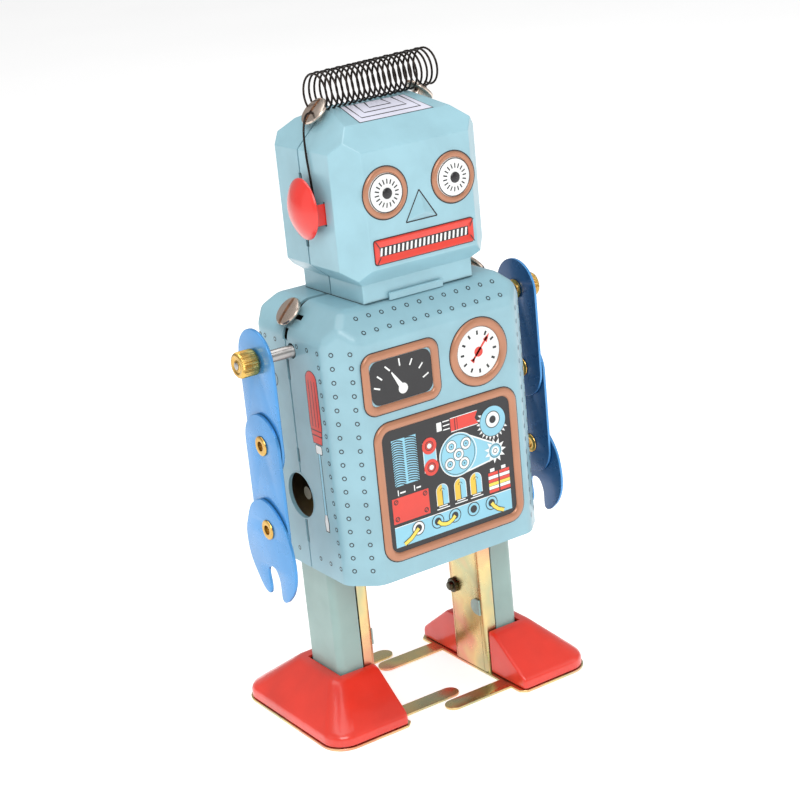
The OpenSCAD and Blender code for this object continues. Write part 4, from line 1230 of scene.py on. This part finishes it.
def cover_bm():
    """Leg cover: a channel with round outer corners, open towards the bracket."""
    y0 = leg_y - leg_half
    y1 = leg_y + leg_half
    x1 = 19.65
    line = [(14.4, y0)]
    line += [(x1 - 1.5 + 1.5 * math.sin(math.radians(a)), y0 + 1.5 - 1.5 * math.cos(math.radians(a)))
             for a in range(0, 91, 15)]
    line += [(x1 - 1.5 + 1.5 * math.cos(math.radians(a)), y1 - 1.5 + 1.5 * math.sin(math.radians(a)))
             for a in range(0, 91, 15)]
    line += [(14.4, y1)]
    levels = [8.9, 9.1, 14, 22, 30, 37.8, 38.0]
    bm = loft([[(x, y, z) for x, y in line] for z in levels], closed=False)
    bmesh.ops.recalc_face_normals(bm, faces=bm.faces[:])
    if sum(f.normal.x * f.calc_area() for f in bm.faces) < 0:
        bmesh.ops.reverse_faces(bm, faces=bm.faces[:])
    return bm


def bracket_bm():
    """Inner bracket: a plate with two flanges bent outward, and a round head with the guide hole."""
    y0 = leg_y - leg_half
    y1 = leg_y + leg_half
    z0 = 0.5
    r = 1.0
    head = arc(arbor_y, guide_z, 6.05, -36, 216, 40)
    outline = [(y0 + r, z0)] + [(y1 - r, z0), (y1 - r, 39.6), (y1 - 0.3, 40.4)] + head + [(y0 + 0.3, 40.4),
                                                                                          (y0 + r, 39.6)]
    holes = [circle(arbor_y, guide_z, 4.45, 48), circle(arbor_y, crank_z - pin_z, 0.85, 24)]
    plate = sheet_plate([outline] + holes, 0.6, 0.1, lambda u, v, h: (bracket_x + 0.3 + h, u, v))
    for edge, sign in ((y0, 1), (y1, -1)):
        bend = []
        for a in range(0, 91, 18):
            c = math.cos(math.radians(a))
            s = math.sin(math.radians(a))
            bend.append((bracket_x + r - r * c, edge + sign * (r - r * s)))
        outer = [(bracket_x, edge + sign * (r + 0.2))] + bend + [(14.1, edge)]
        bend = []
        q = r - 0.6
        for a in range(90, -1, -18):
            c = math.cos(math.radians(a))
            s = math.sin(math.radians(a))
            bend.append((bracket_x + r - q * c, edge + sign * (r - q * s)))
        inner = [(14.1, edge + sign * 0.6)] + bend + [(bracket_x + 0.6, edge + sign * (r + 0.2))]
        ring = outer + inner
        rings = [[(x, y, z) for x, y in ring] for z in (z0, z0 + 0.1, 8, 16, 24, 32, 39.9, 40.0)]
        flange = loft(rings, start=True, end=True)
        bmesh.ops.recalc_face_normals(flange, faces=flange.faces[:])
        add(plate, flange)
    return plate


def tab_bm():
    """Folded end of the cover's tab, a small D on the bracket's inner face."""
    y0 = leg_y - leg_half
    outline = [(y0 + 0.7, 12.9)] + arc(y0 + 1.9, 14.55, 1.65, -90, 90, 12) + [(y0 + 0.7, 16.2)]
    return sheet_plate([outline], 0.35, 0.08, lambda u, v, h: (bracket_x - 0.2 + h, u, v))


def stud_bm():
    y = leg_y + leg_half - 2
    z = 17
    profile = [(bracket_x - 1.5, 0.5), (bracket_x - 1.45, 0.75), (bracket_x - 1.3, 0.9),
               (bracket_x - 0.75, 0.9), (bracket_x - 0.72, 1.3),
               (bracket_x - 0.62, 1.5), (bracket_x - 0.2, 1.5), (bracket_x - 0.05, 1.4),
               (bracket_x - 0.02, 0.6), (bracket_x + 1.0, 0.6),
               (bracket_x + 1.1, 0.95), (bracket_x + 1.3, 0.85)]
    return rod(profile, y, z, 28)


foot_y = leg_y + 0.6
foot_x = 28.7
foot_in = bracket_x + 0.7


# the foot's section: share of the way to the top, height, inset
FOOT_SECTION = [(0, 0.72, 0.0), (0, 1.9, 0.0), (0.01, 2.3, 0.02), (0.035, 2.72, 0.02), (0.1, 3.2, 0.0),
                (0.3, 4.6, 0.0), (0.6, 6.7, 0.0),
                (0.88, 8.66, 0.0), (0.94, 9.06, 0.02), (0.98, 9.34, 0.2), (1, 9.47, 0.55), (1, 9.5, 1.1),
                (1, 9.5, 2.4)]


def foot_bm():
    rings = []
    inner = 0.8
    for t, z, inset in FOOT_SECTION:
        x1 = foot_x + (21.8 - foot_x) * t - inset
        y0 = foot_y - 17.5 + (leg_y - 7.4 - foot_y + 17.5) * t + inset
        y1 = foot_y + 17.5 + (leg_y + 8.6 - foot_y - 17.5) * t - inset
        r = 4.6 - 1.8 * t - min(inset, 0.8)
        x0 = foot_in + 0.5 * inset
        ring = arc(x0 + inner, y0 + inner, inner, 180, 270, 3) + arc(x1 - r, y0 + r, r, 270, 360, 9)
        ring += arc(x1 - r, y1 - r, r, 0, 90, 9) + arc(x0 + inner, y1 - inner, inner, 90, 180, 3)
        rings.append([(x, y, z) for x, y in ring])
    bm = loft(rings, end=True)
    bmesh.ops.recalc_face_normals(bm, faces=bm.faces[:])
    if sum(f.normal.z * f.calc_area() for f in bm.faces) < 0:
        bmesh.ops.reverse_faces(bm, faces=bm.faces[:])
    return bm


def sole_bm():
    x0 = bracket_x - 0.1
    x1 = foot_x + 0.3
    f = foot_y - 17.8
    b = foot_y + 17.8
    r = 4.9
    w = 1.9
    loop = [(x0, f + 1.2), (x0 + 1.2, f)] + arc(x1 - r, f + r, r, 270, 360, 10) + arc(x1 - r, b - r, r, 0,
                                                                                      90, 10)
    loop += [(x0 + 1.2, b), (x0, b - 1.2)]
    for y in (foot_y + 11.5, foot_y - 12.0):
        loop += [(x0, y + w)] + arc(far_sole.x + w, y, w, 90, 270, 14) + [(x0, y - w)]
    return sheet_plate([loop], 0.5, 0.1, lambda u, v, h: (u, v, 0.25 + h))


for side, tag in ((-1, "right"), (1, "left")):
    leg = "leg_" + tag
    cover = thicken(finish_object("cover_" + tag, leg_side(cover_bm(), side), [LEG_GREY], 50), 0.45, INSIDE)
    put(weighted(cover), leg, "leg_grey", "leg_cover_" + tag)
    put(finish_object("cover_tab_" + tag, leg_side(tab_bm(), side), [LEG_GREY]), leg, "leg_grey")
    put(finish_object("bracket_" + tag, leg_side(bracket_bm(), side), [ZINC]), leg, "zinc_yellow",
        "leg_bracket_" + tag)
    put(finish_object("stud_" + tag, leg_side(stud_bm(), side), [DARK_STEEL]), leg, "dark_steel",
        "leg_stud_" + tag)
    shell = thicken(finish_object("foot_" + tag, leg_side(foot_bm(), side), [FOOT_RED], 50), 0.45, INSIDE)
    opening = box_bm(foot_in - 1, 19.9, leg_y - leg_half - 0.4, leg_y + leg_half + 0.4, -2, 30)
    cut_out(shell, leg_side(opening, side))
    put(weighted(shell), leg, "foot_red", "foot_shell_" + tag)
    put(finish_object("sole_" + tag, leg_side(sole_bm(), side), [ZINC]), leg, "zinc_yellow",
        "sole_plate_" + tag)

# ---------------------------------------------------------------- pieces that stay as CAD

SLOT_FINISH = {"zinc_yellow": ZINC, "brass": BRASS, "steel": STEEL, "dark_steel": DARK_STEEL,
               "spring_steel": SPRING}
slot_of = {}
for row in frame["record"]["subparts"]:
    slot_of[row["node"]] = row["material_slot"]
for node, obj in frame["nodes"].items():
    look = SLOT_FINISH.get(slot_of[node])
    if look is None:
        continue
    obj.data.materials.clear()
    obj.data.materials.append(look)

# ---------------------------------------------------------------- stage, light and camera

floor_mesh = bmesh.new()
bmesh.ops.create_grid(floor_mesh, x_segments=8, y_segments=8, size=3000)
FLOOR = finish("floor", [(0.3, (0.90, 0.90, 0.90, 1)), (0.7, (0.94, 0.94, 0.94, 1))], (6, 2.0, EVEN),
               (0.55, 0.65))
glow = FLOOR.node_tree.nodes["Principled BSDF"]
glow.inputs["Emission Color"].default_value = (1.0, 1.0, 1.0, 1.0)
glow.inputs["Emission Strength"].default_value = 0.5
floor = finish_object("floor", floor_mesh, [FLOOR])
floor.location.z = -0.00005

world = bpy.data.worlds.new("studio")
bpy.context.scene.world = world
world.use_nodes = True
world.node_tree.nodes["Background"].inputs["Color"].default_value = (1.0, 1.0, 1.0, 1.0)
world.node_tree.nodes["Background"].inputs["Strength"].default_value = 0.42


def softbox(name, place, target, size, power):
    light = bpy.data.lights.new(name, "AREA")
    light.shape = "RECTANGLE"
    light.size = size[0]
    light.size_y = size[1]
    light.energy = power
    obj = bpy.data.objects.new(name, light)
    bpy.context.scene.collection.objects.link(obj)
    aim = Vector(target) - Vector(place)
    obj.matrix_world = Matrix.Translation(place) @ aim.to_track_quat("-Z", "Y").to_matrix().to_4x4()
    return obj


MIDDLE = (0, 0, 0.06)
softbox("key", (-0.35, -0.55, 0.65), MIDDLE, (0.5, 0.5), 4.0)
softbox("fill", (0.55, -0.45, 0.30), MIDDLE, (0.4, 0.5), 0.6)
softbox("top", (0.0, 0.1, 0.75), MIDDLE, (0.6, 0.6), 2.2)
softbox("side", (-0.60, 0.10, 0.30), MIDDLE, (0.4, 0.5), 0.3)

camera_data = bpy.data.cameras.new("camera")
camera_data.sensor_width = 36
camera_data.lens = 86.435
camera_data.clip_start = 0.01
camera_data.clip_end = 20
camera = bpy.data.objects.new("camera", camera_data)
bpy.context.scene.collection.objects.link(camera)
right = Vector((0.82324, -0.55990, -0.09391)).normalized()
back = Vector((-0.50916, -0.80131, 0.31409)).normalized()
up = back.cross(right).normalized()
right = up.cross(back)
pose = Matrix((right, up, back)).transposed().to_4x4()
pose.translation = Vector((-185.09, -292.18, 174.46)) * MM
camera.matrix_world = pose
bpy.context.scene.camera = camera

scene = bpy.context.scene
scene.view_settings.view_transform = "Standard"
scene.view_settings.look = "None"
scene.view_settings.exposure = 0.0
